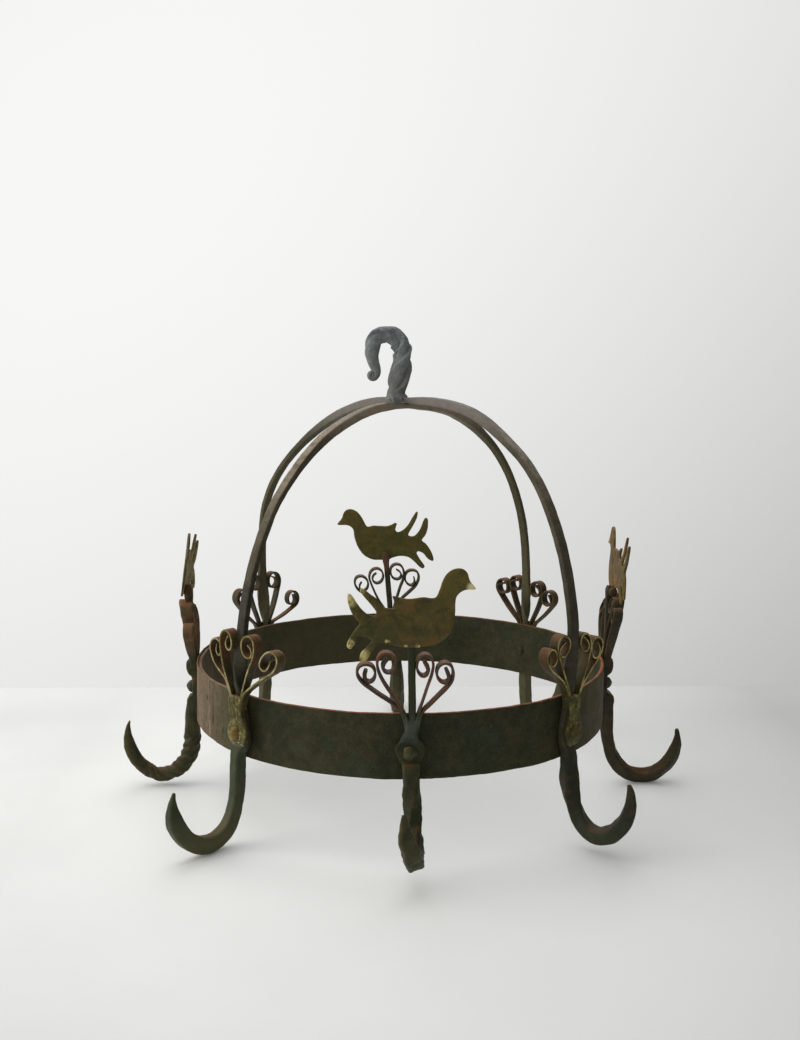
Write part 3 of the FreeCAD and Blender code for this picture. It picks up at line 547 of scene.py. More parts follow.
# Scroll strips left to right, seen from outside: each as its line from the root into the eye, or as the eye's centre alone
FRONT_STRIPS = [
    [(-3.6, 40), (-4.7, 45.9), (-6.6, 51.6), (-9.8, 56.5), (-14.5, 60.5), (-21.6, 65.4), (-29.5, 71.1), (-36.5, 76.8), (-39.7, 82.4), (-38.1, 88),
     (-33.4, 89.6), (-28.7, 88), (-26.4, 83.1), (-27.1, 78.3), (-30.2, 75.6), (-33.4, 77.0), (-34.2, 81.6), (-33.0, 84.8)],
    [(-2.4, 40), (-3.1, 46.7), (-5.8, 53.2), (-10.6, 61.3), (-16.1, 69.4), (-21.7, 78.3), (-24.8, 86.3), (-24.8, 92.8), (-21.7, 97.1),
     (-17.1, 97.5), (-12.7, 94.3), (-11.5, 88.7), (-13.5, 83.9), (-17.6, 82.6), (-20.9, 84.9), (-20.7, 89.5), (-17.8, 92.7)],
    [(2.6, 40), (3.7, 46.7), (5.9, 54.8), (9.0, 64.5), (12.1, 74.1), (14.8, 82.2), (15.5, 89.4), (12.9, 95), (8.8, 96.2), (5.0, 93.4),
     (3.5, 88.6), (4.5, 83), (7.6, 80), (11.0, 81.2), (12.0, 84.6), (10.4, 88.6), (8.8, 91)],
    [(4.2, 40), (5.4, 46.0), (7.5, 53.1), (13.8, 59.6), (20.0, 66), (25.5, 71.7), (29.3, 77.3), (30.1, 82.9), (28.0, 88.5), (24.1, 90.2),
     (19.8, 88.2), (17.9, 83.8), (18.7, 78.9), (21.9, 75.5), (25.0, 75.4), (27.2, 78.3), (26.1, 82.1), (24.5, 85.7)],
]
BACK_STRIPS = [
    [(-8.0, 42), (-8.6, 50), (-10.9, 58), (-16.7, 65.4), (-23.3, 71.3), (-30.6, 78.7), (-33.5, 86.1), (-32.0, 92.1), (-26.8, 94.1),
     (-21.0, 92.2), (-18.8, 87.0), (-21.0, 80.3), (-25.5, 77.8), (-29.0, 80.2), (-28.4, 86.9)],
    [(-6.8, 42), (-7.4, 52), (-9.0, 60), (-11.5, 68.4), (-14.4, 77.4), (-17.3, 84.8), (-18.0, 92.2), (-14.3, 99.4), (-9.2, 100.4),
     (-4.8, 97.5), (-4.1, 90.8), (-7.0, 85.6), (-12.5, 84.8), (-15.4, 87.8), (-14.0, 92.2), (-9.9, 94.9)],
    [(-1.6, 42), (0.2, 50), (3.0, 55), (5.9, 58.9), (10.5, 67.2), (15.7, 79.1), (18.2, 87.3), (15.7, 94.0), (10.6, 96.2), (5.5, 93.9),
     (3.5, 87.9), (6.2, 82.0), (11.3, 80.6), (14.9, 84.3), (13.5, 89.5), (10.6, 91.3)],
    [(-0.5, 42), (1.6, 51), (7.3, 59.7), (14.9, 65.7), (23.7, 70.3), (30.3, 74.8), (33.3, 81.5), (31.8, 86.7), (26.7, 88.5), (21.6, 85.9),
     (19.1, 79.2), (22.3, 73.6), (26.6, 73.2), (28.5, 77.8), (26.0, 82.2)],
]
LEFT_FRONT_STRIPS = [
    [(-4.6, 41), (-5.6, 47.9), (-7.3, 53.7), (-9.2, 59.4), (-11.4, 63.2), (-16.4, 67.6), (-21.6, 71.5), (-25.3, 76.3), (-27.6, 81.4),
     (-28.4, 86.1), (-27.1, 90.0), (-23.5, 92.9), (-19.6, 93.0), (-17.0, 91.2), (-16.0, 87.6), (-16.2, 83.3), (-18.3, 79.6), (-21.3, 80.7),
     (-22.8, 84.6), (-22.4, 88.3)],
    [(-3.6, 41), (-4.6, 50.8), (-6.6, 57.1), (-8.8, 62.2), (-11.6, 69.6), (-14.2, 78.9), (-16.0, 86.4), (-16.5, 92.9), (-15.0, 98.0),
     (-11.3, 101.2), (-7.5, 101.0), (-4.3, 97.7), (-3.0, 92.8), (-3.8, 88.5), (-6.2, 85.8), (-9.3, 87.0), (-10.6, 90.6), (-9.6, 94.7),
     (-7.6, 97.5)],
    [(4.4, 41), (6.4, 49), (7.9, 53.5), (9.6, 58.1), (12.3, 64.6), (15.0, 71.1), (17.8, 76.9), (20.6, 82.1), (22.7, 87.8), (23.5, 93.2),
     (21.8, 98.2), (19.2, 100.4), (15.1, 100.4), (10.9, 98.1), (9.0, 94.3), (9.0, 90.7), (10.3, 86.8), (13.4, 84.1), (17.5, 83.8),
     (20.2, 85.6), (21.0, 88.6), (19.6, 91.2), (15.4, 93.6)],
    [(5.6, 41), (7.8, 49.5), (9.2, 53.0), (12.2, 56.6), (17.5, 60.6), (23.9, 65.1), (30.3, 69.3), (37.4, 73.6), (43.6, 77.3), (47.1, 81.2),
     (49.3, 85.6), (49.4, 89.1), (47.2, 91.5), (43.8, 93.0), (39.9, 92.6), (35.5, 90.0), (31.9, 85.9), (30.0, 81.5), (31.3, 78.2),
     (35.3, 77.2), (38.8, 79.1), (41.1, 82.9), (42.0, 86.3)],
]
RIGHT_FRONT_STRIPS = [
    [(-4.6, 42), (-6.4, 51.3), (-9.5, 58.2), (-12.6, 62.8), (-18.0, 67.9), (-23.9, 71.9), (-29.7, 76.0), (-34.4, 81.3), (-36.7, 85.9),
     (-36.3, 90.1), (-34.2, 92.5), (-30.9, 93.0), (-27.4, 91.7), (-24.5, 88.0), (-23.7, 83.6), (-25.9, 80.1), (-29.2, 79.2), (-31.9, 81.4),
     (-31.7, 84.3), (-31.2, 87.8)],
    [(-3.6, 42), (-5.4, 52.1), (-7.8, 58.5), (-10.4, 63.3), (-13.2, 68.1), (-16.5, 74.5), (-19.0, 79.9), (-21.9, 85.5), (-23.7, 90.7),
     (-23.6, 95.7), (-21.5, 99.3), (-18.1, 100.9), (-13.5, 100.3), (-9.4, 97.7), (-7.5, 93.7), (-8.5, 89.6), (-11.8, 85.8), (-15.8, 84.4),
     (-19.7, 86.5), (-21.0, 90.2), (-17.8, 93.0), (-12.2, 95.2)],
    [(3.6, 42), (5.7, 50), (7.9, 57.4), (10.2, 62.9), (13.0, 69.1), (15.9, 75.9), (18.0, 82.2), (19.2, 88.6), (18.5, 93.5), (15.5, 97.4),
     (11.0, 98.7), (7.2, 96.4), (5.8, 92.3), (7.5, 87.6), (11.9, 84.3), (15.8, 84.6), (17.2, 88.0), (15.1, 92.2), (10.8, 96.0)],
    [(4.6, 42), (7.0, 51.5), (10.0, 58.0), (14.2, 62.8), (19.9, 67.6), (25.8, 71.9), (31.1, 77.0), (34.6, 81.6), (35.6, 86.6), (33.6, 90.7),
     (29.8, 92.8), (24.8, 92.8), (21.3, 89.7), (20.1, 84.8), (21.8, 79.3), (25.6, 76.6), (29.3, 77.3), (31.2, 80.6), (30.7, 85.2), (28.1, 89.0)],
]

# name, azimuth, strips, where the post stands at its foot and at the bird
BIRD_UNITS = [
    ("front", 0.5, FRONT_STRIPS, 0.6, -0.3),
    ("right", 90.0, [(-27.5, 90.2), (-12.6, 96.4), (12.6, 95.6), (28.5, 88.0)], 0.0, 0.0),
    ("back", 183.0, BACK_STRIPS, -4.2, 0.8),
    ("left", 270.0, [(-27.0, 83.0), (-12.4, 89.6), (12.2, 92.2), (27.6, 77.4)], 0.0, 0.0),
]
# how far each strip stands out at its eye, and its width, left to right
STRIP_OUT = {"front": 0.5, "right": (2.6, 4.2, 6.6, 9.0), "back": 1.5, "left": (9.4, 8.6, 3.6, -0.8)}
STRIP_WIDE = {"front": 10.0, "right": (8.2, 10.2, 10.0, 9.6), "back": 10.4, "left": (10.0, 10.2, 10.2, 8.4)}
# how far out each bird's sheet stands
BIRD_OUT = {"front": 0.0, "right": 1.6, "back": 0.0, "left": 3.5}
ARCH_UNITS = {
    "front_left": (-44.6, LEFT_FRONT_STRIPS),
    "front_right": (43.6, RIGHT_FRONT_STRIPS),
    "back_right": (135.0, [(-26.0, 77.9), (-11.5, 85.2), (13.4, 88.4), (29.6, 83.2)]),
    "back_left": (226.0, [(-37.8, 70.2), (-12.0, 92.0), (12.2, 92.4), (28.0, 80.6)]),
}
# Arch legs over the hoop: r, z, width
ARCH_LINES = {
    "front_left": [(181.6, 54, 9.6), (181.6, 64, 11.0), (181.4, 74, 11.6), (180.6, 88, 10.4), (179.4, 102, 9.2), (176.6, 118, 9.0), (171.6, 138.5, 9.0),
                   (165.4, 156.5, 9.0), (157.2, 175, 9.0), (147.4, 192.8, 9.0), (133.4, 210.4, 9.0), (115, 228.3, 9.0), (89.3, 246.3, 9.0),
                   (67.6, 256.6, 9.0), (46, 264, 9.0), (25, 268, 9.2), (9, 269.1, 9.6)],
    "back_right": [(181.6, 54, 8.6), (181.6, 64, 9.0), (181.5, 76, 9.2), (181.4, 90, 8.6), (180.4, 108, 7.8), (178, 130, 7.7), (172.8, 154, 7.7),
                   (163.2, 178.5, 7.7), (149, 202.8, 7.8), (127.6, 226.6, 8.0), (112.5, 238.4, 8.2), (95, 249.4, 8.4), (77.4, 257.6, 8.6),
                   (60.4, 263.4, 8.8), (43.8, 266.8, 9.0), (26, 268.6, 9.2), (9, 269.2, 9.6)],
    "front_right": [(181.7, 54, 9.4), (182, 64, 10.4), (183, 76, 10.8), (184.2, 90, 10.4), (184.6, 104, 10.0), (182, 124, 10.0), (178, 144, 10.0),
                    (171, 167.5, 10.0), (165.6, 181, 10.0), (159, 195, 10.0), (148.4, 212.6, 10.0), (132.4, 231, 10.0), (121, 240.2, 9.8),
                    (105.6, 251, 9.6), (92.6, 259, 9.4), (79.6, 265, 9.2), (66.4, 269, 9.2), (53, 271.6, 9.2), (39, 273.2, 9.2), (22, 274, 9.2), (9, 274.2, 9.6)],
    "back_left": [(182, 54, 9.0), (183, 64, 10.4), (184.4, 76, 11.6), (185.4, 90, 10.2), (186, 106, 8.6), (186, 118, 8.0), (184.6, 140, 7.8), (182.6, 155, 7.8),
                  (179.8, 167, 7.8), (175, 178.6, 7.8), (168.2, 190.6, 7.8), (159, 202.6, 7.8), (147, 214.8, 7.8), (132.8, 226.8, 8.0), (116.4, 238.8, 8.2),
                  (99.4, 249.4, 8.4), (84, 257.4, 8.6), (68.6, 263.6, 8.8), (53, 268.6, 9.0), (38, 272, 9.2), (22, 273.8, 9.2), (9, 274.2, 9.6)],
}
# the flat bar's half turn above the hoop: height, share of the turn; and which way each leg turns
ARCH_TURN = ([38, 50, 60, 72, 84, 97], [0.0, 0.25, 0.5, 0.75, 0.92, 1.0])
ARCH_WAY = {"front_left": -1, "front_right": 1, "back_left": 1, "back_right": -1}


def hook_twist(name, loc, mid_z0=-2.0):
    """Twist along the bar: none at the point, then evenly from the belly up to just under the hoop."""
    total = math.radians(TWISTS[name])
    if not total:
        return np.zeros(len(loc))
    run = np.r_[0, np.cumsum(np.linalg.norm(np.diff(loc, axis=0), axis=1))]
    low = int(np.argmin(loc[:, 2]))
    top = int(np.argmax((loc[:, 2] > mid_z0) & (np.arange(len(loc)) > low)))
    a, b = run[max(low - 12, 0)], run[top]
    return -total * (1.0 - np.clip((run - a) / (b - a), 0, 1))


def askew(name, z):
    """How far a bar's middle lies to one side at a height: the back one is riveted on leaning, one foot bends aside."""
    if name == "back":
        return float(np.interp(z, [-62, -46, -10, 22, 41, 60], [-14.0, -13.6, -11.4, -7.2, -4.8, -4.2]))
    if name == "front_left":
        return -3.8 * float(np.clip((15.0 - z) / 9.0, 0, 1))
    return 0.0


def bird_hook(name, az, eyes, middle, top, seed):
    sh = Shells()
    r0 = R + (LAP_STEP if name == "left" else 0.0)
    out = BIRD_OUT[name]
    proud = {"left": 0.5, "right": 0.9}.get(name, 0.0)       # the neck stands out as a knob on the two side bars
    m = 0.0 if name == "back" else middle
    ctrl = [(s, r, z, w, t, 4.3 if name == "left" else 2.3) for s, r, z, t, w in HOOKS[name]]
    big = 1.1 if name == "right" else 0.0                    # how much further the right bar stands out under its rivet
    ctrl += [
        (0.2, r0 + 5.3 + big, 7.5, 12.6, 10.5 + 2 * big, 2.0), (0.2, r0 + 5.1 + big, 11.0, 13.6, 10.1 + 2 * big, 1.7), (0.0, r0 + 3.4, 13.4, 14.8, 6.8, 1.4),
        (-0.4, r0 + 2.6, 16.2, 17.4, 5.2, 1.2), (-0.5, r0 + 2.5, 20.5, 21.4, 5.0, 1.2), (-0.5, r0 + 2.5, 24.4, 22.6, 5.0, 1.2),
        (-0.5, r0 + 2.6, 28.5, 18.6, 5.2, 1.3), (-0.5, r0 + 3.2, 32.6, 12.4, 6.4, 1.6), (-0.3 + m * 0.3, r0 + 4.7 + proud, 37.0, 9.8, 9.4 + proud, 2.0),
        (m * 0.7, r0 + 5.2 + proud, 40.6, 10.6, 10.0 + proud, 2.2), (m, r0 + 5.2 + proud, 43.6, 11.0, 9.6 + proud, 2.6), (m, r0 + 5.0, 45.8, 10.2, 7.6, 2.8),
        (m, r0 + 4.8, 47.4, 7.4, 5.2, 2.4),
    ]
    ctrl = [(row[0] + askew(name, row[2]),) + tuple(row[1:]) for row in ctrl]
    loc, sec = follow(ctrl, 1.15)
    c = place(loc, az)
    _, t = axes(az)
    tw = hook_twist(name, loc, -22.0 if name == "left" else -2.0)
    v = bar(c, t, sec[:, 0], sec[:, 1], sec[:, 2], tw, 5, 5, 3)
    rough = 1.5 if name == "front" else 1.0
    v = hammered(v, c, 0.34 * rough, 0.10 * rough, seed, 0.55 * rough, 0.10 * rough)
    v[..., 2] = np.maximum(v[..., 2], -67.9)
    sh.tube(v, 0.4)
    # post up to the bird, flattened behind it or drawn out to meet it
    tip = ((3.8, 0.6), (3.0, 1.0), (2.2, 1.3)) if out == 0 else ((5.4 + 0.55 * out, 0.2 + 0.6 * out), (5.6 + 0.5 * out, 0.4 + 0.6 * out), (4.2 + 0.3 * out, 0.7 + 0.65 * out))
    rise = -1.5 if name == "right" else 0.0
    post = [(middle * f + top * (1 - f), r0 + 5.5 + dr, z, w, th, rc) for f, dr, z, w, th, rc in (
        (1.0, 0.0, 41.0, 5.6, 5.4, 0.9), (0.8, 0.0, 60.0, 5.4, 5.2, 0.8), (0.45, 0.1 + 0.15 * out, 80.0, 5.3, 5.0 + 0.05 * out, 0.8),
        (0.15, 0.1 + 0.5 * out, 97.0, 5.4, 4.8 + 0.4 * out, 0.8), (0.0, tip[0][1], 104.0, 7.0, tip[0][0], 0.8),
        (0.0, tip[1][1], 110.0 + rise, 8.0, tip[1][0], 0.9), (0.0, tip[2][1], 113.5 + rise, 5.5, tip[2][0], 0.9))]
    loc, sec = follow(post, 1.5)
    c = place(loc, az)
    v = bar(c, t, sec[:, 0], sec[:, 1], sec[:, 2], None, 2, 2, 2)
    sh.tube(hammered(v, c, 0.16, 0.13, seed + 5), 0.2)
    if name == "right":                       # a round peened stud through the post under the bird
        stud = np.array([(-7.6, 2.2), (-7.2, 3.2), (-6.4, 3.9), (-5.0, 4.1), (-3.4, 4.0), (-1.0, 3.6), (1.2, 3.0)])
        ring = np.linspace(0, 2 * np.pi, 24, endpoint=False)
        v = np.array([np.c_[np.full(24, x), r0 + 8.8 + q * np.cos(ring), 107.2 + q * np.sin(ring)] for x, q in stud])
        sh.tube(place(v, az), 0.3)
    r_mid = r0 + (4.2 if name == "left" else 5.4)
    spray_strips(sh, az, eyes, (3.1, 5.0), 40.0, r_mid, STRIP_WIDE[name], seed * 0.37, STRIP_OUT[name], middle, sweep=2.2 if name == "right" else 1.5,
                 blunt=2.1 if name == "front" else 1.0, slim=(1.0, 1.0, 0.6, 1.0) if name == "front" else 1.0)
    return sh


def scroll_spray(name, az, eyes, seed):
    sh = Shells()
    rb = R + 7.0
    ctrl = [
        (0, rb + 1.3, 11.0, 6.0, 1.8, 0.8), (0, rb + 1.6, 12.2, 11.4, 2.8, 1.2), (0, rb + 2.0, 14.8, 16.4, 3.8, 1.5), (0, rb + 2.25, 18.8, 19.8, 4.5, 1.7),
        (0, rb + 2.3, 23.0, 20.8, 4.6, 1.8), (0, rb + 2.3, 27.0, 19.2, 4.6, 1.8), (0, rb + 2.3, 31.0, 15.4, 4.6, 1.8), (0, rb + 2.3, 35.0, 13.4, 4.6, 1.7),
        (0, rb + 2.4, 40.0, 13.4, 4.8, 1.7), (0, rb + 2.3, 45.0, 14.6, 5.2, 1.7), (0, rb + 2.1, 49.0, 16.2, 5.4, 1.8), (0, rb + 2.0, 51.4, 15.4, 4.4, 1.8),
    ]
    if name == "front_left":                  # its pad is broader, and lies a little to one side
        ctrl = [(1.7 * min(max((44.0 - row[2]) / 14.0, 0.0), 1.0), row[1], row[2], row[3] * 1.1) + row[4:] for row in ctrl]
    loc, sec = follow(ctrl, 1.0)
    c = place(loc, az)
    e, t = axes(az)
    v = bar(c, t, sec[:, 0], sec[:, 1], sec[:, 2], None, 14, 3, 3)
    # cuts between the strips run on into the pad as grooves
    off = ((v - c[:, None]) * t).sum(-1)
    front = np.clip(((v - c[:, None]) * e).sum(-1), 0, 9) > 0.8
    depth = np.clip((loc[:, 2] - 27.0) / 20.0, 0, 1)[:, None]
    groove = sum(np.exp(-((off - x) / 0.75) ** 2) for x in (-4.6, 0.2, 4.4))
    v = v - (front * groove * depth * 0.55)[..., None] * e
    v = hammered(v, c, 0.46, 0.24, seed, 0.7, 0.22)
    sh.tube(v, 0.2)
    wide, oval = {"back_left": ((6.4, 8.0, 8.0, 8.0), (7.9, 8.5)), "back_right": (8.6, (7.6, 8.2))}.get(name, (8.6, (7.1, 7.7)))
    spray_strips(sh, az, eyes, (4.9, 6.8), 42.0, rb + 0.3, wide, seed * 0.53, 0.2, thick=2.1 if name == "back_right" else 1.6, oval=oval)
    return sh


def arch(first, second, apex, seed):
    """One bar from hook to hook over the top, with the leg of each end in its own plane."""
    def leg(name):
        az = ARCH_UNITS[name][0]
        out = [(s + askew(name, z), r, z + (0.9 * min(max((-20 - z) / 25.0, 0), 1) if name == "front_left" else 0), w, t, 2.3) for s, r, z, t, w in HOOKS[name]]
        out += [(askew(name, 8.0), 181.6, 8.0, 11.4, 9.2, 2.0), (0, 180.6, 13.0, 13.4, 7.2, 1.8), (0, 180.5, 22.0, 14.2, 7.0, 1.8), (0, 180.5, 31.0, 12.0, 6.6, 1.8),
                (0, 180.7, 38.0, 8.8, 6.2, 1.5), (0, 181.2, 46.0, 8.4, 5.4, 1.3)]
        for r, z, w in ARCH_LINES[name]:      # heavier towards the crown, thin again where the bars cross
            heavy = min(max((r - 10.0) / 16.0, 0.0), 1.0) * min(max((135.0 - r) / 45.0, 0.0), 1.0) * (z > 150)
            out.append((0, r, z + {"front_left": 0.7, "back_left": -0.6}.get(name, 0.0) * heavy, w, 4.8 + 2.3 * heavy, 1.1))
        return az, np.array(out)

    a1, l1 = leg(first)
    a2, l2 = leg(second)
    p1, p2 = place(l1[:, :3], a1), place(l2[:, :3], a2)
    path = np.vstack([np.c_[p1, l1[:, 3:]], [[0, 0, apex, 11.0, 4.6, 1.2]], np.c_[p2, l2[:, 3:]][::-1]])
    c, sec = follow(path, 1.35)
    _, t1 = axes(a1)
    _, t2 = axes(a2)
    run = np.r_[0, np.cumsum(np.linalg.norm(np.diff(c, axis=0), axis=1))]
    top = int(np.argmax(c[:, 2]))
    f = np.clip((run - run[top]) / 30.0 * 0.5 + 0.5, 0, 1)[:, None]
    wd = unit(t1 * (1 - f) - t2 * f)
    # hook twists at both ends and a half turn of the flat bar above the hoop
    n = len(c)
    half = np.arange(n) < top
    tw = np.zeros(n)
    for mask, name, sign in ((half, first, 1), (~half, second, -1)):
        idx = np.where(mask)[0]
        idx = idx if sign > 0 else idx[::-1]
        seg = c[idx]
        low = int(np.argmin(seg[:, 2]))
        up = np.arange(len(seg)) > low
        rr = np.r_[0, np.cumsum(np.linalg.norm(np.diff(seg, axis=0), axis=1))]
        k0, k1 = rr[max(low - 10, 0)], rr[int(np.argmax(up & (seg[:, 2] > -2)))]
        under = -math.radians(TWISTS[name]) * (1 - np.clip((rr - k0) / (k1 - k0), 0, 1))
        z = np.where(up, np.clip(seg[:, 2], ARCH_TURN[0][0], ARCH_TURN[0][-1]), ARCH_TURN[0][0])
        over = ARCH_WAY[name] * math.pi * hermite(ARCH_TURN[0], np.array(ARCH_TURN[1])[:, None], z, True)[:, 0]
        tw[idx] = sign * (under + over)
    v = bar(c, wd, sec[:, 0], sec[:, 1], sec[:, 2], tw, 4, 3, 3)
    z = c[:, 2]
    soft = np.where(z < 50, 1.0, 0.45)[:, None]
    vv = hammered(v, c, 0.30, 0.09, seed, 0.5, 0.10)
    v = v + (vv - v) * soft[..., None]
    v[..., 2] = np.maximum(v[..., 2], -67.9)
    sh = Shells()
    sh.tube(v, 0.4)
    return sh


# ------------------------------------------------------------------ hoop
def hoop():
    start, joggle, back, end = -102.0, 248.0, 256.0, 296.7
    n = 520
    a = np.linspace(start, end, n)
    f = np.clip((a - joggle) / (back - joggle), 0, 1)
    f = f * f * (3 - 2 * f)
    # the outer end is drawn thin over the lap, to little more than an edge at the front
    thin = HOOP_T + (LAP_STEP - 0.2 - HOOP_T) * f - 0.72 * np.clip((a - 282.0) / (end - 282.0), 0, 1)
    r = (R - HOOP_T / 2) * (1 - f) + (R + 0.2 - 0.14 * np.clip((a - 288.0) / 8.0, 0, 1) + thin / 2) * f
    ar = np.radians(a)
    e = np.c_[np.sin(ar), -np.cos(ar), 0 * ar]
    lift = 1.1 * f
    c = e * r[:, None] + np.c_[0 * ar, 0 * ar, HOOP_H / 2 + lift]
    ee = np.c_[np.sin(ar), -np.cos(ar), 0 * ar]
    ns, nt, nc = 18, 1, 3
    h = HOOP_H + 0.5 * vnoise(ee * 9.0, 1.0, 4)
    xy = rrect(h, thin, np.full(n, 0.95), ns, nt, nc)       # x is up, y is out
    v = c[:, None] + xy[..., 0:1] * np.array([0, 0, 1.0]) + xy[..., 1:2] * e[:, None]
    # uneven edges, long waves and small dents, the same for both layers of the lap
    base = np.stack([ee[:, None, 0] * R + 0 * v[..., 0], ee[:, None, 1] * R + 0 * v[..., 0], v[..., 2]], -1)
    out = 0.42 * fbm(base, 0.018, 11, 2) + 0.16 * fbm(base, 0.07, 23, 3) - 0.22 * np.clip(0.45 - cells(base, 0.045, 5), 0, 1)
    v = v + out[..., None] * e[:, None]
    edge = np.clip((np.abs(xy[..., 0]) - 20) / 5, 0, 1)
    v[..., 2] += edge * (0.30 * fbm(base, 0.05, 41, 2) + 0.12 * fbm(base, 0.3, 43, 2))
    sh = Shells()
    sh.tube(v, 0.0)
    return sh


# ------------------------------------------------------------------ rivets
def rivet(az, r_head, seed, wide=10.4, tall=11.2, height=4.2, ds=0.0, dz=0.0):
    """Hammered rivet: uneven domed head outside, clenched tail inside the hoop."""
    sh = Shells()
    rows = [(R - HOOP_T - 2.0, 0.5), (R - HOOP_T - 1.9, 0.62), (R - HOOP_T - 1.3, 0.74), (R - HOOP_T - 0.4, 0.77), (R - HOOP_T - 0.05, 0.75), (R - HOOP_T + 0.1, 0.56),
            (r_head - 0.6, 0.56), (r_head - 0.1, 0.96)]
    rows += [(r_head + height * k, f) for k, f in ((0.12, 1.02), (0.31, 0.98), (0.53, 0.86), (0.72, 0.68), (0.88, 0.44), (1.0, 0.2))]
    m = 28
    ang = np.linspace(0, 2 * np.pi, m, endpoint=False)
    rings = []
    for k, (rr, f) in enumerate(rows):
        squash = 1.0 + 0.05 * np.sin(3 * ang + seed) + 0.04 * np.sin(5 * ang + 2 * seed)
        s = np.cos(ang) * f * wide / 2 * squash + ds
        z = np.sin(ang) * f * tall / 2 * squash + RIVET_Z + dz
        rings.append(np.c_[s, np.full(m, rr), z])
    v = place(np.array(rings), az)
    c = v.mean(1)
    v2 = hammered(v, c, 0.28, 0.22, int(seed * 13) + 7, 0.5, 0.2)
    sh.tube(v2, 0.3)
    return sh


# ------------------------------------------------------------------ birds
BIRD_A = [
    (45.1, 144.7), (40.9, 150.7), (39.2, 156.0), (35.4, 159.3), (30.1, 159.2), (25.0, 156.3), (21.3, 150.2),
    (19.0, 143.2), (16.6, 138.6), (13.0, 137.9), (8.3, 138.6), (2.4, 137.9), (-2.3, 137.4), (-7.1, 137.9),
    (-12.2, 139.3), (-14.4, 139.2), (-13.1, 135.2), (-13.2, 130.9), (-17.7, 130.7), (-22.4, 132.8),
    (-26.6, 137.6), (-31.9, 142.4), (-36.0, 145.2), (-37.5, 143.4), (-34.3, 138.8), (-29.6, 133.4),
    (-26.2, 128.6), (-26.5, 125.7), (-29.5, 125.4), (-34.3, 128.0), (-39.0, 133.4), (-42.3, 138.8),
    (-44.8, 141.4), (-46.6, 140.0), (-45.9, 134.0), (-42.6, 125.8), (-37.8, 119.9), (-41.4, 114.7),
    (-44.9, 109.2), (-47.0, 103.4), (-44.3, 101.2), (-41.1, 105.0), (-38.6, 110.2), (-35.0, 110.0),
    (-30.7, 108.6), (-29.3, 106.2), (-33.1, 101.9), (-36.6, 98.3), (-37.7, 93.6), (-35.3, 91.8),
    (-32.4, 92.9), (-29.7, 97.6), (-25.9, 102.9), (-20.0, 104.8), (-11.6, 103.1), (-5.7, 102.1), (2.7, 101.8),
    (9.8, 102.6), (17.0, 104.2), (22.9, 107.8), (27.6, 113.3), (29.9, 120.0), (30.6, 127.2), (30.7, 134.5),
    (31.6, 139.2), (35.0, 142.7), (39.2, 144.2),
]
BIRD_B = [
    (47.2, 141.9), (43.0, 148.4), (41.4, 153.4), (38.6, 156.8), (34.0, 157.7), (28.4, 155.2), (23.6, 149.2),
    (20.4, 142.8), (17.8, 139.4), (12.4, 140.4), (6.0, 140.1), (-0.5, 139.9), (-5.4, 141.3), (-9.0, 143.4),
    (-10.6, 142.0), (-9.4, 136.2), (-12.0, 133.6), (-16.9, 136.0), (-21.7, 141.2), (-26.4, 149.8), (-29.6, 154.7),
    (-31.2, 153.6), (-29.8, 147.2), (-26.5, 140.3), (-22.2, 131.8), (-23.6, 129.4), (-28.3, 129.9), (-33.1, 135.9),
    (-36.3, 144.5), (-38.7, 148.5), (-41.1, 146.3), (-40.9, 137.6), (-38.8, 130.6), (-35.3, 125.1), (-39.7, 121.0),
    (-44.6, 113.1), (-47.0, 105.4), (-45.2, 103.4), (-40.6, 106.4), (-36.6, 111.5), (-31.9, 113.4), (-30.4, 111.3),
    (-33.5, 105.4), (-38.0, 98.5), (-36.8, 95.6), (-33.4, 96.9), (-27.8, 102.8), (-22.1, 107.3), (-14.0, 108.6),
    (-6.0, 106.6), (-2.7, 104.8), (5.5, 104.6), (13.6, 105.3), (21.6, 110.0), (27.2, 118.0), (30.6, 127.6),
    (31.8, 136.0), (34.8, 139.7), (38.9, 141.2),
]


def smooth_loop(points, steps):
    p = np.asarray(points, float)
    n, out = len(p), []
    for i in range(n):
        p0, p1, p2, p3 = p[i - 1], p[i], p[(i + 1) % n], p[(i + 2) % n]
        for j in range(steps):
            t = j / steps
            out.append(0.5 * (2 * p1 + (p2 - p0) * t + (2 * p0 - 5 * p1 + 4 * p2 - p3) * t * t + (3 * p1 - p0 - 3 * p2 + p3) * t ** 3))
    return np.array(out)


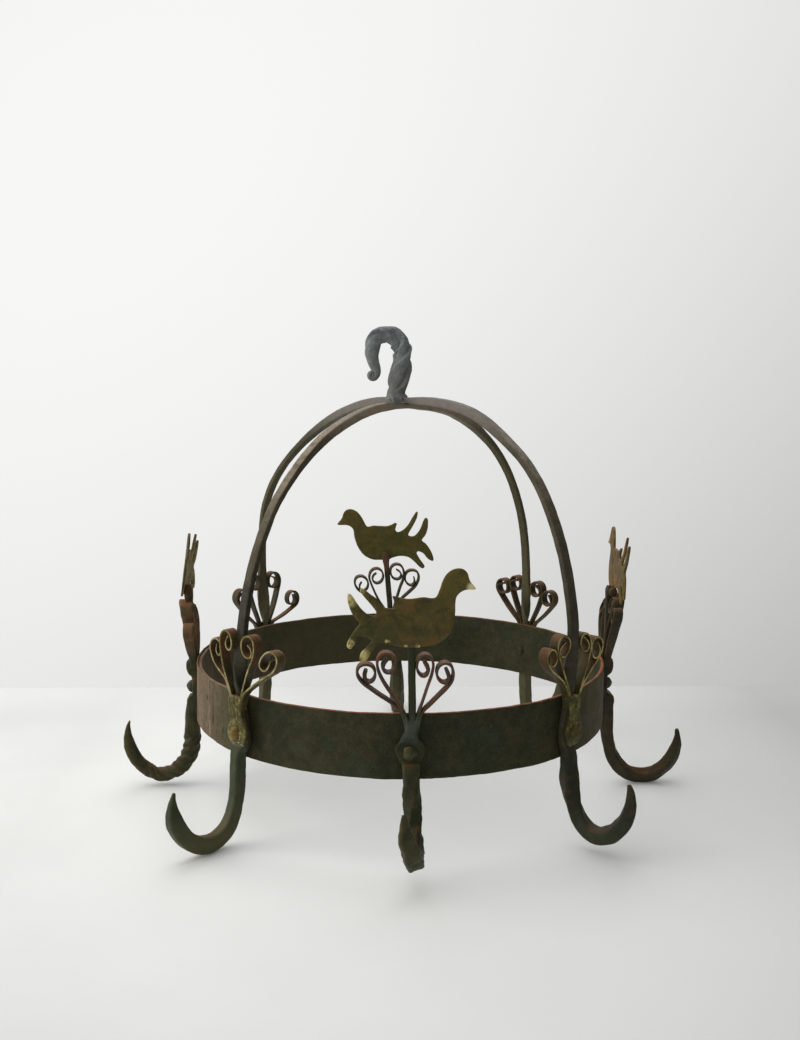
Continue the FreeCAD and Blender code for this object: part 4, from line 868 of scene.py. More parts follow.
def bird(az, outline, r_in, seed, bend=0.0, yaw=0.0, tilt=0.0, thick=2.0):
    """Cut sheet with worn edges, a little dished and bent."""
    loop = smooth_loop(outline, 4)
    n = len(loop)
    nxt, prv = np.roll(loop, -1, 0), np.roll(loop, 1, 0)
    tan = unit(nxt - prv)
    area = 0.5 * np.sum(loop[:, 0] * nxt[:, 1] - nxt[:, 0] * loop[:, 1])
    inward = np.c_[-tan[:, 1], tan[:, 0]] * (1 if area > 0 else -1)
    loop = loop + inward * (0.10 * fbm(np.c_[loop, np.full(n, seed)], 0.35, int(seed) + 3, 2))[:, None]
    inset = loop + inward * 0.42
    ends = np.roll(inset, -1, 0)

    def inside(q):
        a, b = inset[:, 1] > q[1], ends[:, 1] > q[1]
        cut = (ends[:, 0] - inset[:, 0]) * (q[1] - inset[:, 1]) / np.where(a != b, ends[:, 1] - inset[:, 1], 1.0) + inset[:, 0]
        return np.count_nonzero((a != b) & (q[0] < cut)) % 2 == 1

    grid = []
    for x in np.arange(-48, 48, 2.4):
        for k, z in enumerate(np.arange(90, 168, 2.2)):
            q = np.array([x + (1.2 if k % 2 else 0), z])
            if np.min(np.linalg.norm(inset - q, axis=1)) > 1.2 and inside(q):
                grid.append(q)
    pts = [Vector(p) for p in inset] + [Vector(p) for p in grid]
    vs, _, fs, _, _, _ = delaunay_2d_cdt(pts, [], [list(range(n)) if area > 0 else list(range(n))[::-1]], 1, 1e-6)
    flat = np.array([tuple(p) for p in vs])

    def depth(p):
        s, z = p[:, 0], p[:, 1]
        d = bend * (s / 46.0) ** 2 + math.tan(math.radians(yaw)) * s + math.tan(math.radians(tilt)) * (z - 108.0)
        return d + 0.35 * fbm(np.c_[p, np.full(len(p), seed * 3.1)], 0.035, int(seed) + 9, 2) + 0.12 * fbm(np.c_[p, np.full(len(p), seed)], 0.15, int(seed) + 19, 2)

    m = len(flat)
    front = np.c_[flat[:, 0], r_in + thick + depth(flat), flat[:, 1]]
    back = np.c_[flat[:, 0], r_in + depth(flat), flat[:, 1]]
    rim_f = np.c_[loop[:, 0], r_in + thick - 0.45 + depth(loop), loop[:, 1]]
    rim_b = np.c_[loop[:, 0], r_in + 0.45 + depth(loop), loop[:, 1]]
    verts = np.vstack([front, back, rim_f, rim_b])
    faces = [tuple(f) for f in fs] + [tuple(m + i for i in reversed(f)) for f in fs]
    for i in range(n):
        j = (i + 1) % n
        faces.append((i, j, 2 * m + j, 2 * m + i))
        faces.append((2 * m + i, 2 * m + j, 2 * m + n + j, 2 * m + n + i))
        faces.append((2 * m + n + i, 2 * m + n + j, m + j, m + i))
    sh = Shells()
    sh.add(place(verts, az), faces)
    return sh


# ------------------------------------------------------------------ hanging hook
def hanging_hook():
    """Bar twisted on itself, thick in the shank, bent over and rolled up small at the point."""
    rows = [
        (-5.4, 275.8, 20.4, 17.0), (-5.6, 277.6, 18.0, 15.4), (-5.8, 280.2, 15.2, 13.2), (-4.8, 283.4, 15.0, 12.4), (-4.1, 287.0, 17.2, 12.6), (-3.6, 293.6, 18.4, 12.6),
        (-2.2, 300.4, 17.2, 12.2), (-0.9, 307.0, 15.8, 12.2), (-0.6, 312.4, 16.0, 12.0), (-1.2, 317.6, 16.2, 12.0), (-3.0, 323.0, 16.0, 12.0),
        (-7.6, 327.7, 15.2, 11.6), (-13.6, 330.7, 14.4, 11.2), (-19.6, 329.5, 14.6, 10.6), (-24.1, 324.8, 13.8, 10.0), (-26.4, 317.8, 12.6, 9.4),
        (-26.6, 312.6, 11.4, 8.8), (-25.0, 305.4, 9.8, 8.0), (-23.0, 300.2, 8.2, 7.4), (-22.4, 297.0, 6.8, 6.8), (-23.2, 294.4, 5.8, 6.6), (-25.0, 292.9, 5.4, 6.5), (-27.1, 293.0, 5.0, 6.4),
        (-28.4, 294.5, 4.6, 6.4), (-28.3, 296.4, 4.4, 6.3), (-27.0, 297.4, 4.2, 6.2), (-25.9, 296.7, 3.9, 6.0), (-25.7, 295.8, 3.4, 5.8),
    ]
    ctrl = [(x, 0.0, z, a, b, 0) for x, z, a, b in rows]
    loc, sec = follow(ctrl, 0.6)
    n = len(loc)
    tan = unit(np.gradient(loc, axis=0))
    side = np.cross(tan, np.array([0, 1.0, 0]))
    side = unit(side)
    run = np.r_[0, np.cumsum(np.linalg.norm(np.diff(loc, axis=0), axis=1))]
    f = run / run[-1]
    m = 96
    ang = np.linspace(0, 2 * np.pi, m, endpoint=False)
    live = np.clip((run - 7.0) / 6.0, 0, 1) * np.clip((0.74 - f) / 0.12, 0, 1)
    # three folds wound round the bar: each swells slowly and drops over a sharp lip to the next
    turn = 2 * np.pi * (1.25 * np.clip(run / 66.0, 0, 1.4) + 0.035 * np.sin(run / 6.3))
    lobe = (1.5 * (ang[None, :] + turn[:, None]) / np.pi + 0.18 * np.sin(run / 9.0 + 1.0)[:, None]) % 1.0
    fold = np.where(lobe < 0.84, (lobe / 0.84) ** 1.25, 0.5 + 0.5 * np.cos(np.pi * (lobe - 0.84) / 0.16))
    rad = 1.0 + (0.25 * (fold - 0.52) + 0.03 * np.cos(2 * (ang[None, :] + turn[:, None]) + 0.7)) * live[:, None]
    # finer creases at a longer pitch, over the bend as well
    live2 = np.clip((run - 5.0) / 4.0, 0, 1) * np.clip((0.70 - f) / 0.12, 0, 1)
    crease = (5 * (ang[None, :] + 0.62 * turn[:, None] + 0.25 * np.sin(run / 11.0)[:, None]) / (2 * np.pi)) % 1.0
    rad = rad - 0.12 * np.exp(-((crease - 0.5) / 0.13) ** 2) * live2[:, None] * (0.55 + 0.45 * np.sin(run / 7.0 + 3.0 * np.cos(ang)[None, :].T).T)
    x = np.cos(ang)[None, :] * sec[:, 0:1] / 2 * rad
    y = np.sin(ang)[None, :] * sec[:, 1:2] / 2 * rad
    v = loc[:, None] + x[..., None] * side[:, None] + y[..., None] * np.array([0, 1.0, 0])
    rough = np.clip((0.82 - f) / 0.1, 0.15, 1)[:, None, None]
    v2 = hammered(v, loc, 0.34, 0.14, 71, 0.4, 0.14)
    v = v + (v2 - v) * rough
    v[..., 2] = np.maximum(v[..., 2], 275.2)
    sh = Shells()
    sh.tube(v, 0.2)
    # a tongue of the foot hammered down in front of the crossing
    tongue = [(-6.6, -5.4, 277.6, 9.8, 3.2, 1.0), (-6.1, -9.4, 276.6, 10.6, 3.0, 1.0), (-5.7, -12.2, 274.6, 10.8, 2.6, 0.9), (-5.5, -13.3, 272.2, 9.4, 2.2, 0.9), (-5.4, -13.3, 270.6, 6.4, 1.8, 0.8)]
    loc, sec = follow(tongue, 0.6)
    v = bar(loc, unit(np.array([1.0, 1.0, 0.0])), sec[:, 0], sec[:, 1], sec[:, 2], None, 4, 2, 2)
    sh.tube(hammered(v, loc, 0.2, 0.3, 91), 0.3)
    return sh


# ------------------------------------------------------------------ finishes
def spray_extra(az, strength, colour, second, chips, rim, flecks):
    """Old paint left on what looks outwards, broken up, with pale chips low on the pad."""
    e, _ = axes(az)
    foot = place(np.array([3.0, 189.0, 15.0]), az) + np.array([0, 0, STAND])

    def paint(g, col, k):
        out = g.ramp(g.facing(tuple(e)), 0.35, 0.8)
        high = g.math("MULTIPLY", g.math("SUBTRACT", 1.0, out), g.ramp(g.along((0, 0, 1)), 0.132, 0.152))
        col = g.mix(g.math("MULTIPLY", high, g.ramp(k["patch"], 0.42, 0.60, 0.03, 0.38)), col, lin(112, 66, 44))
        broken = g.ramp(g.math("ADD", g.math("MULTIPLY", k["middle"], 0.5), g.math("MULTIPLY", k["fine"], 0.5)), 0.38, 0.6)
        tint = g.mix(g.ramp(k["patch"], 0.40, 0.60), lin(*colour), lin(*second))
        tint = g.mix(g.ramp(g.noise(300.0, 4.0, 0.7, 0.3, az), 0.52, 0.64), tint, lin(*chips))
        tint = g.mix(g.ramp(g.noise(150.0, 4.0, 0.7, 0.5, az + 9.0), 0.52, 0.60, 0.0, 0.7), tint, lin(52, 54, 26))
        edge = g.mix(g.ramp(k["patch"], 0.44, 0.58), lin(*rim), lin(*colour))
        tint = g.mix(g.ramp(g.along((0, 0, 1)), 0.116, 0.124), tint, edge)
        broken = g.math("MAXIMUM", broken, g.ramp(g.along((0, 0, 1)), 0.116, 0.124, 0.0, 0.6))
        col = g.mix(g.math("MULTIPLY", g.math("MULTIPLY", out, broken), strength), col, tint)
        fleck = g.math("MULTIPLY", g.near(tuple(foot), 8.0, 3.0), g.ramp(g.noise(520.0, 3.0, 0.6, 0.6, az + 4.0), 0.60, 0.66))
        return g.mix(g.math("MULTIPLY", fleck, flecks), col, lin(188, 190, 176))

    return paint


def bird_extra(az, spots, warm, flakes, neck=0.0, mottle=1.0, inner=0.0):
    """Brown bloom over the body, a greener tail, and remains of pale paint at the listed spots (s, r, z, radius); where
    inner is set, painted light keeps the face towards the middle pale and darkens the rest.
    """
    e, t = axes(az)

    def paint(g, col, k):
        glow = g.ramp(g.math("ADD", g.math("MULTIPLY", k["big"], 0.6), g.math("MULTIPLY", k["patch"], 0.4)), 0.44, 0.62)
        col = g.mix(g.math("MULTIPLY", glow, warm), col, lin(106, 70, 32))
        side = g.along(tuple(t))
        tail = g.math("MULTIPLY", g.ramp(side, -0.026, 0.002, 1.0, 0.0), g.ramp(k["patch"], 0.36, 0.56))
        col = g.mix(g.math("MULTIPLY", tail, 0.55), col, lin(68, 68, 31))
        if neck:
            up = g.ramp(g.along((0, 0, 1)), 0.196, 0.214)
            col = g.mix(g.math("MULTIPLY", g.math("MULTIPLY", up, g.ramp(side, 0.004, 0.03)), neck), col, lin(92, 84, 36))
        col = g.mix(g.ramp(g.noise(95.0, 7.0, 0.7, 0.5, az + 2.0), 0.50, 0.62, 0.0, 0.5 * mottle), col, lin(40, 42, 20))
        col = g.mix(g.ramp(g.noise(74.0, 7.0, 0.7, 0.6, az + 6.0), 0.54, 0.66, 0.0, 0.42 * mottle), col, lin(122, 72, 36))
        if inner:                             # painted light: the face towards the middle is kept pale and every other face darkened
            col = g.mix(g.ramp(g.facing(tuple(-e)), 0.3, 0.8, 1.0 - inner, 1.0), (0, 0, 0), col)
        for s, r, z, radius in spots:
            p = place(np.array([s, r, z]), az) + np.array([0, 0, STAND])
            m = g.near(tuple(p), radius, radius * 0.32)
            chip = g.ramp(g.math("ADD", g.math("MULTIPLY", g.noise(210.0, 6.0, 0.75, 0.8, s), 0.7), g.math("MULTIPLY", k["fine"], 0.3)), 0.41, 0.49)
            tint = g.mix(g.ramp(k["middle"], 0.38, 0.62), lin(208, 196, 148), lin(158, 146, 74))
            col = g.mix(g.math("MULTIPLY", g.math("MULTIPLY", m, chip), flakes), col, tint)
        return col

    return paint


def band_extra(g, col, k):
    """Browner round the left outside, with pits and runs; paler on the inner face at the left as painted bounce light;
    a little paler at the back; a paler top edge at the left as painted highlight; and a pale line at the lap's end,
    partly wear and partly painted highlight.
    """
    x = g.along((1, 0, 0))
    # painted light: the inner face at the left, lit by bounce light, is painted paler brown
    left = g.ramp(x, -0.165, -0.085, 1.0, 0.0)
    inside = g.ramp(g.facing((0.9, -0.42, 0)), 0.25, 0.8)
    col = g.mix(g.math("MULTIPLY", g.math("MULTIPLY", left, inside), g.ramp(k["big"], 0.3, 0.7, 0.3, 0.65)), col, lin(96, 80, 60))
    rear = g.math("MULTIPLY", g.ramp(g.along((0, 1, 0)), 0.1, 0.16), g.ramp(x, -0.02, 0.06, 1.0, 0.0))
    col = g.mix(g.math("MULTIPLY", rear, 0.4), col, lin(82, 76, 52))
    outer = g.math("MULTIPLY", g.ramp(x, -0.172, -0.112, 1.0, 0.0), g.ramp(g.facing((-1, 0, 0)), 0.5, 0.9))
    runs = g.noise(90.0, 6.0, 0.7, 0.3, 61.0, (1, 1, 0.45))
    brown = g.mix(g.ramp(runs, 0.36, 0.66), lin(128, 106, 86), lin(98, 84, 64))
    brown = g.mix(g.ramp(x, -0.168, -0.138, 0.0, 0.85), brown, g.mix(g.ramp(runs, 0.36, 0.66), lin(104, 96, 66), lin(76, 72, 48)))
    brown = g.mix(g.ramp(g.noise(300.0, 3.0, 0.6, 0.3, 63.0, (1, 1, 0.5)), 0.59, 0.65, 0.0, 0.8), brown, lin(40, 34, 26))
    col = g.mix(g.math("MULTIPLY", outer, 0.8), col, brown)
    right = g.math("MULTIPLY", g.ramp(x, 0.10, 0.16), g.ramp(g.facing((1, 0, 0)), 0.4, 0.9))
    col = g.mix(g.math("MULTIPLY", right, g.ramp(runs, 0.36, 0.66, 0.3, 0.6)), col, lin(86, 76, 50))
    red = g.math("MULTIPLY", g.near((160.0, 68.0, 68.0), 26.0, 16.0), g.ramp(k["middle"], 0.36, 0.56, 0.4, 1.0))
    col = g.mix(g.math("MULTIPLY", red, g.ramp(g.facing((-1, 0, 0)), 0.2, 0.6, 0.0, 0.6)), col, lin(84, 52, 38))
    # painted highlight: what looks up round the left is painted paler, where the light from the left falls
    col = g.mix(g.math("MULTIPLY", k["up"], g.ramp(x, -0.15, -0.06, 0.75, 0.0)), col, lin(122, 100, 82))
    # a pale line on the lap's thin end: partly edge wear, partly painted highlight
    e, t = axes(296.7)
    off = g.math("ABSOLUTE", g.along(tuple(t)))
    lap_end_wear_and_highlight = g.math("MULTIPLY", g.ramp(off, 0.0003, 0.0010, 1.0, 0.0), g.math("MULTIPLY", g.ramp(g.along(tuple(e)), 0.14, 0.16), g.ramp(g.facing(tuple(-e)), 0.3, 0.6, 1.0, 0.0)))
    return g.mix(g.math("MULTIPLY", lap_end_wear_and_highlight, g.ramp(k["patch"], 0.4, 0.6, 0.3, 0.85)), col, lin(180, 166, 144))


def arch_extra(leg, hook, low, crown):
    """Bare dark hooks under the hoop, dark legs just above it, and a pale grey crown, partly dust and partly painted
    sheen on what looks up.
    """
    def paint(g, col, k):
        z = g.along((0, 0, 1))
        front = g.ramp(g.along((0, 1, 0)), -0.03, 0.03, 1.0, 0.0)
        dark = g.math("SUBTRACT", 1.0, g.math("MULTIPLY", front, g.ramp(z, 0.195, 0.25, 1.0 - leg, 0.0)))
        col = g.mix(g.math("MULTIPLY", g.math("SUBTRACT", 1.0, front), g.ramp(k["big"], 0.35, 0.65, 0.3, 0.65)), col, lin(82, 78, 50))
        col = g.mix(dark, (0, 0, 0), col)
        # painted sheen with some dust: the crown is pale grey where it looks up and darker on its sides
        crown_dust_and_sheen = g.math("MULTIPLY", g.ramp(z, 0.300, 0.340), g.ramp(k["middle"], 0.3, 0.6, 0.7, 1.0))
        top = g.mix(g.math("MULTIPLY", k["up"], 0.75), lin(*crown), lin(*[0.66 * c for c in crown]))
        col = g.mix(g.math("MULTIPLY", crown_dust_and_sheen, 0.9), col, top)
        tone = g.math("ADD", g.math("MULTIPLY", k["big"], 0.5), g.math("MULTIPLY", k["middle"], 0.5))
        bare = g.mix(g.ramp(tone, 0.36, 0.66), lin(*[0.72 * c for c in hook]), lin(*hook))
        bare = g.mix(g.math("MULTIPLY", g.ramp(k["patch"], 0.52, 0.66), 0.5), bare, lin(92, 58, 38))
        bare = g.mix(g.ramp(z, 0.012, 0.04, 0.55, 0.0), bare, lin(*low))
        bare = g.mix(g.math("MULTIPLY", g.math("SUBTRACT", 1.0, front), g.ramp(tone, 0.36, 0.66, 0.45, 0.85)), bare, lin(92, 86, 56))
        bare = g.mix(g.math("MULTIPLY", k["up"], 0.35), bare, lin(96, 70, 48))
        return g.mix(g.ramp(z, 0.073, 0.083, 1.0, 0.0), col, bare)

    return paint


# the band's rust red along its top edge is rust, made bright there as a painted highlight
band = iron("band_iron", (38, 39, 26), (55, 52, 34), (84, 56, 36), 2.0, 0.32, 0.8, (132, 78, 50), 0.25, rough=(0.5, 0.78), green=0.25, gain=(1.38, 1.42, 1.5), spec=0.08, extra=band_extra)
# the arches' pale grey top colours are painted sheen on what looks up, partly dust
arch_low = iron("arch_iron_low", (44, 43, 34), (68, 61, 48), (96, 62, 44), 5.0, 0.34, 0.8, (130, 120, 110), 0.4, (126, 92, 70), gain=(1.62, 1.56, 1.38), extra=arch_extra(0.56, (62, 70, 46), (88, 84, 52), (148, 134, 116)))
arch_up = iron("arch_iron_up", (46, 45, 36), (70, 64, 52), (92, 64, 48), 7.4, 0.32, 0.8, (136, 128, 120), 0.4, (126, 92, 70), gain=(1.56, 1.52, 1.34), extra=arch_extra(0.7, (44, 47, 31), (54, 56, 37), (120, 114, 108)))
def front_extra(g, col, k):
    """Redder on the strips with grey blue edges, grey green where they join the bar, partly painted highlight at the
    neck, a dark post and a browner point.
    """
    z = g.along((0, 0, 1))
    strips = g.math("MULTIPLY", g.ramp(z, 0.118, 0.130), g.ramp(g.math("ABSOLUTE", g.along((1, 0, 0))), 0.0042, 0.0058))
    col = g.mix(g.math("MULTIPLY", g.math("SUBTRACT", g.ramp(z, 0.112, 0.124), strips), 0.7), col, lin(48, 53, 34))
    col = g.mix(g.math("MULTIPLY", strips, g.ramp(k["patch"], 0.38, 0.6, 0.25, 0.75)), col, lin(128, 74, 40))
    col = g.mix(g.math("MULTIPLY", g.math("MULTIPLY", strips, g.ramp(g.facing((0, -1, 0)), 0.5, 0.85)), g.ramp(k["middle"], 0.4, 0.6, 0.25, 0.8)), col, lin(54, 60, 60))
    point = g.math("MULTIPLY", g.ramp(g.along((0, -1, 0)), 0.224, 0.238), g.ramp(z, 0.08, 0.09, 1.0, 0.0))
    col = g.mix(g.math("MULTIPLY", point, g.ramp(k["middle"], 0.35, 0.6, 0.3, 0.75)), col, lin(68, 64, 38))
    # the pale grey green at the neck is partly colour and partly painted highlight
    neck = g.math("MULTIPLY", g.ramp(z, 0.094, 0.104), g.ramp(z, 0.114, 0.122, 1.0, 0.0))
    return g.mix(g.math("MULTIPLY", neck, g.ramp(k["middle"], 0.35, 0.6, 0.2, 0.7)), col, lin(66, 76, 68))


hook_mats = {
    "front": iron("hook_iron_front", (34, 38, 24), (56, 54, 33), (100, 58, 36), 11.0, 0.42, 0.4, (104, 60, 36), 0.4, gain=(0.92, 0.98, 0.78), extra=front_extra),
    "right": iron("hook_iron_right", (38, 36, 25), (66, 56, 36), (104, 60, 34), 13.0, 0.46, 0.45, (108, 62, 32), 0.4, green=0.2, gain=(0.98, 0.98, 0.86)),
    "back": iron("hook_iron_back", (36, 37, 26), (62, 55, 36), (98, 60, 34), 15.0, 0.42, 0.45, (106, 62, 34), 0.4, gain=(1.28, 1.32, 0.96),
                 extra=lambda g, col, k: g.mix(g.math("MULTIPLY", g.ramp(g.along((0, 0, 1)), 0.156, 0.168), g.ramp(k["middle"], 0.35, 0.6, 0.2, 0.7)), col, lin(98, 66, 46))),
    "left": iron("hook_iron_left", (38, 42, 27), (64, 58, 36), (104, 62, 34), 17.0, 0.42, 0.5, (110, 62, 32), 0.45, gain=(1.08, 1.1, 0.88), extra=lambda g, col, k: g.mix(g.math("MULTIPLY", g.ramp(g.along((0, 0, 1)), 0.118, 0.135), g.ramp(k["patch"], 0.36, 0.62, 0.08, 0.5)), col, lin(134, 94, 64))),
}
spray_mats = {
    "front_left": iron("spray_iron_front_left", (44, 42, 24), (74, 64, 36), (110, 66, 36), 21.0, 0.46, 0.5, (116, 68, 40), 0.5, (160, 146, 92), gain=(1.1, 1.1, 1.0),
                       extra=spray_extra(-44.6, 0.78, (126, 120, 58), (82, 84, 38), (164, 152, 98), (196, 178, 130), 0.8)),
    "front_right": iron("spray_iron_front_right", (38, 38, 20), (62, 56, 30), (100, 62, 32), 23.0, 0.42, 0.45, (108, 66, 36), 0.5, (146, 134, 66), gain=(1.0, 1.0, 0.85),
                        extra=spray_extra(43.6, 0.85, (120, 112, 46), (62, 62, 27), (156, 142, 76), (214, 192, 124), 0.15)),
    "back_right": iron("spray_iron_back_right", (40, 38, 26), (64, 55, 37), (102, 60, 36), 25.0, 0.48, 0.5, (106, 62, 38), 0.4, gain=(1.55, 1.4, 1.1)),
    "back_left": iron("spray_iron_back_left", (40, 38, 26), (66, 56, 37), (104, 62, 36), 27.0, 0.48, 0.5, (108, 64, 38), 0.4),
}
bird_mats = {
    "front": iron("bird_sheet_front", (46, 44, 22), (72, 62, 31), (110, 68, 32), 31.0, 0.34, 0.3, (110, 84, 44), 0.3, (104, 88, 46), grain=0.7, gain=(1.75, 1.75, 1.45),
                  extra=bird_extra(0.5, [(-46.0, 186.0, 102.6, 5.6), (-36.0, 186.0, 94.0, 6.6), (-45.4, 186.0, 138.2, 6.4), (-36.5, 186.0, 143.5, 3.0), (44.2, 186.0, 145.4, 5.4),
                                         (-18.6, 187.0, 106.8, 1.2), (-16.6, 187.0, 106.3, 1.0), (-4.6, 187.0, 102.8, 1.3), (4.0, 187.0, 102.9, 1.5)], 0.42, 0.95, 0.6)),
    "right": iron("bird_sheet_right", (66, 55, 32), (104, 84, 48), (122, 78, 40), 33.0, 0.4, 0.3, (120, 92, 56), 0.35, (140, 114, 66), grain=0.7, gain=(1.38, 1.2, 0.68),
                  extra=bird_extra(90.0, [(-45.6, 190.0, 106.0, 5.0), (43.4, 191.0, 146.6, 4.0)], 0.35, 0.6)),
    "back": iron("bird_sheet_back", (48, 45, 23), (68, 60, 31), (96, 68, 32), 35.0, 0.28, 0.3, (104, 80, 44), 0.25, (104, 92, 48), grain=0.6, gain=(2.3, 2.35, 1.75),
                 extra=bird_extra(183.0, [(2.0, 186.0, 105.0, 2.0), (18.0, 188.0, 108.0, 1.6)], 0.15, 0.6, mottle=0.35)),
    # the left bird's high gain together with inner paints light on its face towards the middle
    "left": iron("bird_sheet_left", (60, 54, 34), (96, 82, 50), (110, 76, 42), 37.0, 0.36, 0.3, (112, 88, 54), 0.08, (130, 110, 64), grain=0.7, gain=(3.3, 3.4, 2.9),
                 extra=bird_extra(270.0, [(-44.0, 190.0, 102.0, 5.0), (45.0, 190.0, 148.0, 4.0)], 0.2, 0.5, mottle=0.7, inner=0.68)),
}
rivet_mat = iron("rivet_iron", (40, 45, 32), (64, 62, 42), (92, 62, 40), 41.0, 0.34, 0.4, (100, 70, 48), 0.45, gain=(1.2, 1.26, 1.1))
rivet_spray = iron("rivet_iron_spray", (50, 48, 26), (78, 70, 36), (104, 72, 38), 43.0, 0.46, 0.35, (116, 82, 46), 0.5, (130, 112, 60), gain=(1.0, 1.0, 0.9))
rivet_rear = iron("rivet_iron_rear", (44, 40, 28), (58, 50, 36), (84, 56, 38), 44.0, 0.4, 0.35, (92, 62, 42), 0.3, (100, 74, 50), gain=(1.2, 1.15, 1.05))
rivet_left = iron("rivet_iron_front_left", (82, 68, 36), (118, 92, 48), (128, 84, 44), 45.0, 0.4, 0.3, (140, 108, 60), 0.5, (150, 128, 72), gain=(1.25, 1.25, 1.1))
# painted haze: the hanger's pale blue grey and high gain stand for the haze of the bright light behind it, not the
# iron's own colour; browner low on the shank
hanger = iron("hanger_iron", (66, 70, 70), (92, 98, 97), (100, 98, 92), 47.0, 0.2, 0.3, (112, 116, 116), 0.7, (138, 144, 142), rough=(0.5, 0.78), green=0.2, gain=(2.0, 1.95, 2.0), extra=lambda g, col, k: g.mix(g.math("MULTIPLY", g.ramp(g.along((0, 0, 1)), 0.352, 0.385, 1.0, 0.0), 0.45), col, lin(112, 108, 98)))

# ------------------------------------------------------------------ the pieces
hoop().make("band", band, ["hoop_band"], "band_iron")
arch("front_left", "back_right", APEX_LOW, 101).make("arch_bar_lower", arch_low, ["arch_lower"], "arch_iron")
arch("front_right", "back_left", APEX_HIGH, 137).make("arch_bar_upper", arch_up, ["arch_upper"], "arch_iron")
BIRD_BACK = [(1.06 * s + 0.8, z) for s, z in BIRD_B]                    # cut a little longer than the others
BIRD_LEFT = [(s, z + (5.5 * min(max((z - 137.0) / 16.0, 0.0), 1.0) if s > 15 else 0.05 * min(s, 0.0))) for s, z in BIRD_B]      # holds its head higher
BIRD_RIGHT = [(s, z + 3.4 - 0.03 * s + (2.4 if z < 99 else 0.0)) for s, z in BIRD_B]                                             # sits higher, tail up
RIVETS = {"front": (4.2, -1.0, 0.0), "right": (6.2, 0.0, 2.4), "back": (4.2, -7.2, 0.0), "left": (6.0, 0.0, 0.4)}               # height, aside, up
for i, (name, az, eyes, middle, top) in enumerate(BIRD_UNITS):
    r0 = R + (LAP_STEP if name == "left" else 0.0)
    bird_hook(name, az, eyes, middle, top, 201 + 31 * i).make("hook_bar_" + name, hook_mats[name], ["bird_hook_" + name], "hook_iron")
    tall, ds, dz = RIVETS[name]
    rivet(az, r0 + 5.0, 1.0 + i, height=tall, ds=ds, dz=dz).make("rivet_head_" + name, rivet_mat, ["rivet_" + name], "rivet_iron")
    shape, bend, yaw, tilt = {"front": (BIRD_A, 0.6, 0.0, 0.6), "right": (BIRD_RIGHT, 0.0, 1.6, 5.6), "back": (BIRD_BACK, -0.8, 1.2, 0.4),
                              "left": (BIRD_LEFT, -4.6, -2.3, -8.0)}[name]
    bird(az, shape, r0 + 8.0 + BIRD_OUT[name], 3.0 + 2.0 * i, bend, yaw, tilt).make("bird_sheet_" + name, bird_mats[name], ["bird_" + name], "bird_sheet")
for i, (name, (az, eyes)) in enumerate(ARCH_UNITS.items()):
    scroll_spray(name, az, eyes, 401 + 23 * i).make("spray_" + name, spray_mats[name], ["scroll_spray_" + name], "spray_iron")
    own = name == "front_left"
    rivet(az, R + 7.0 + 4.5, 11.0 + i, 8.0 if own else 8.6, 10.6, 4.6 if own else 3.4, ds=1.4 if own else 0.0, dz=1.0).make("rivet_head_" + name, rivet_left if own else rivet_rear if "back" in name else rivet_spray, ["rivet_" + name], "rivet_iron")
hanging_hook().make("hanger", hanger, ["hanging_hook"], "hanger_iron")


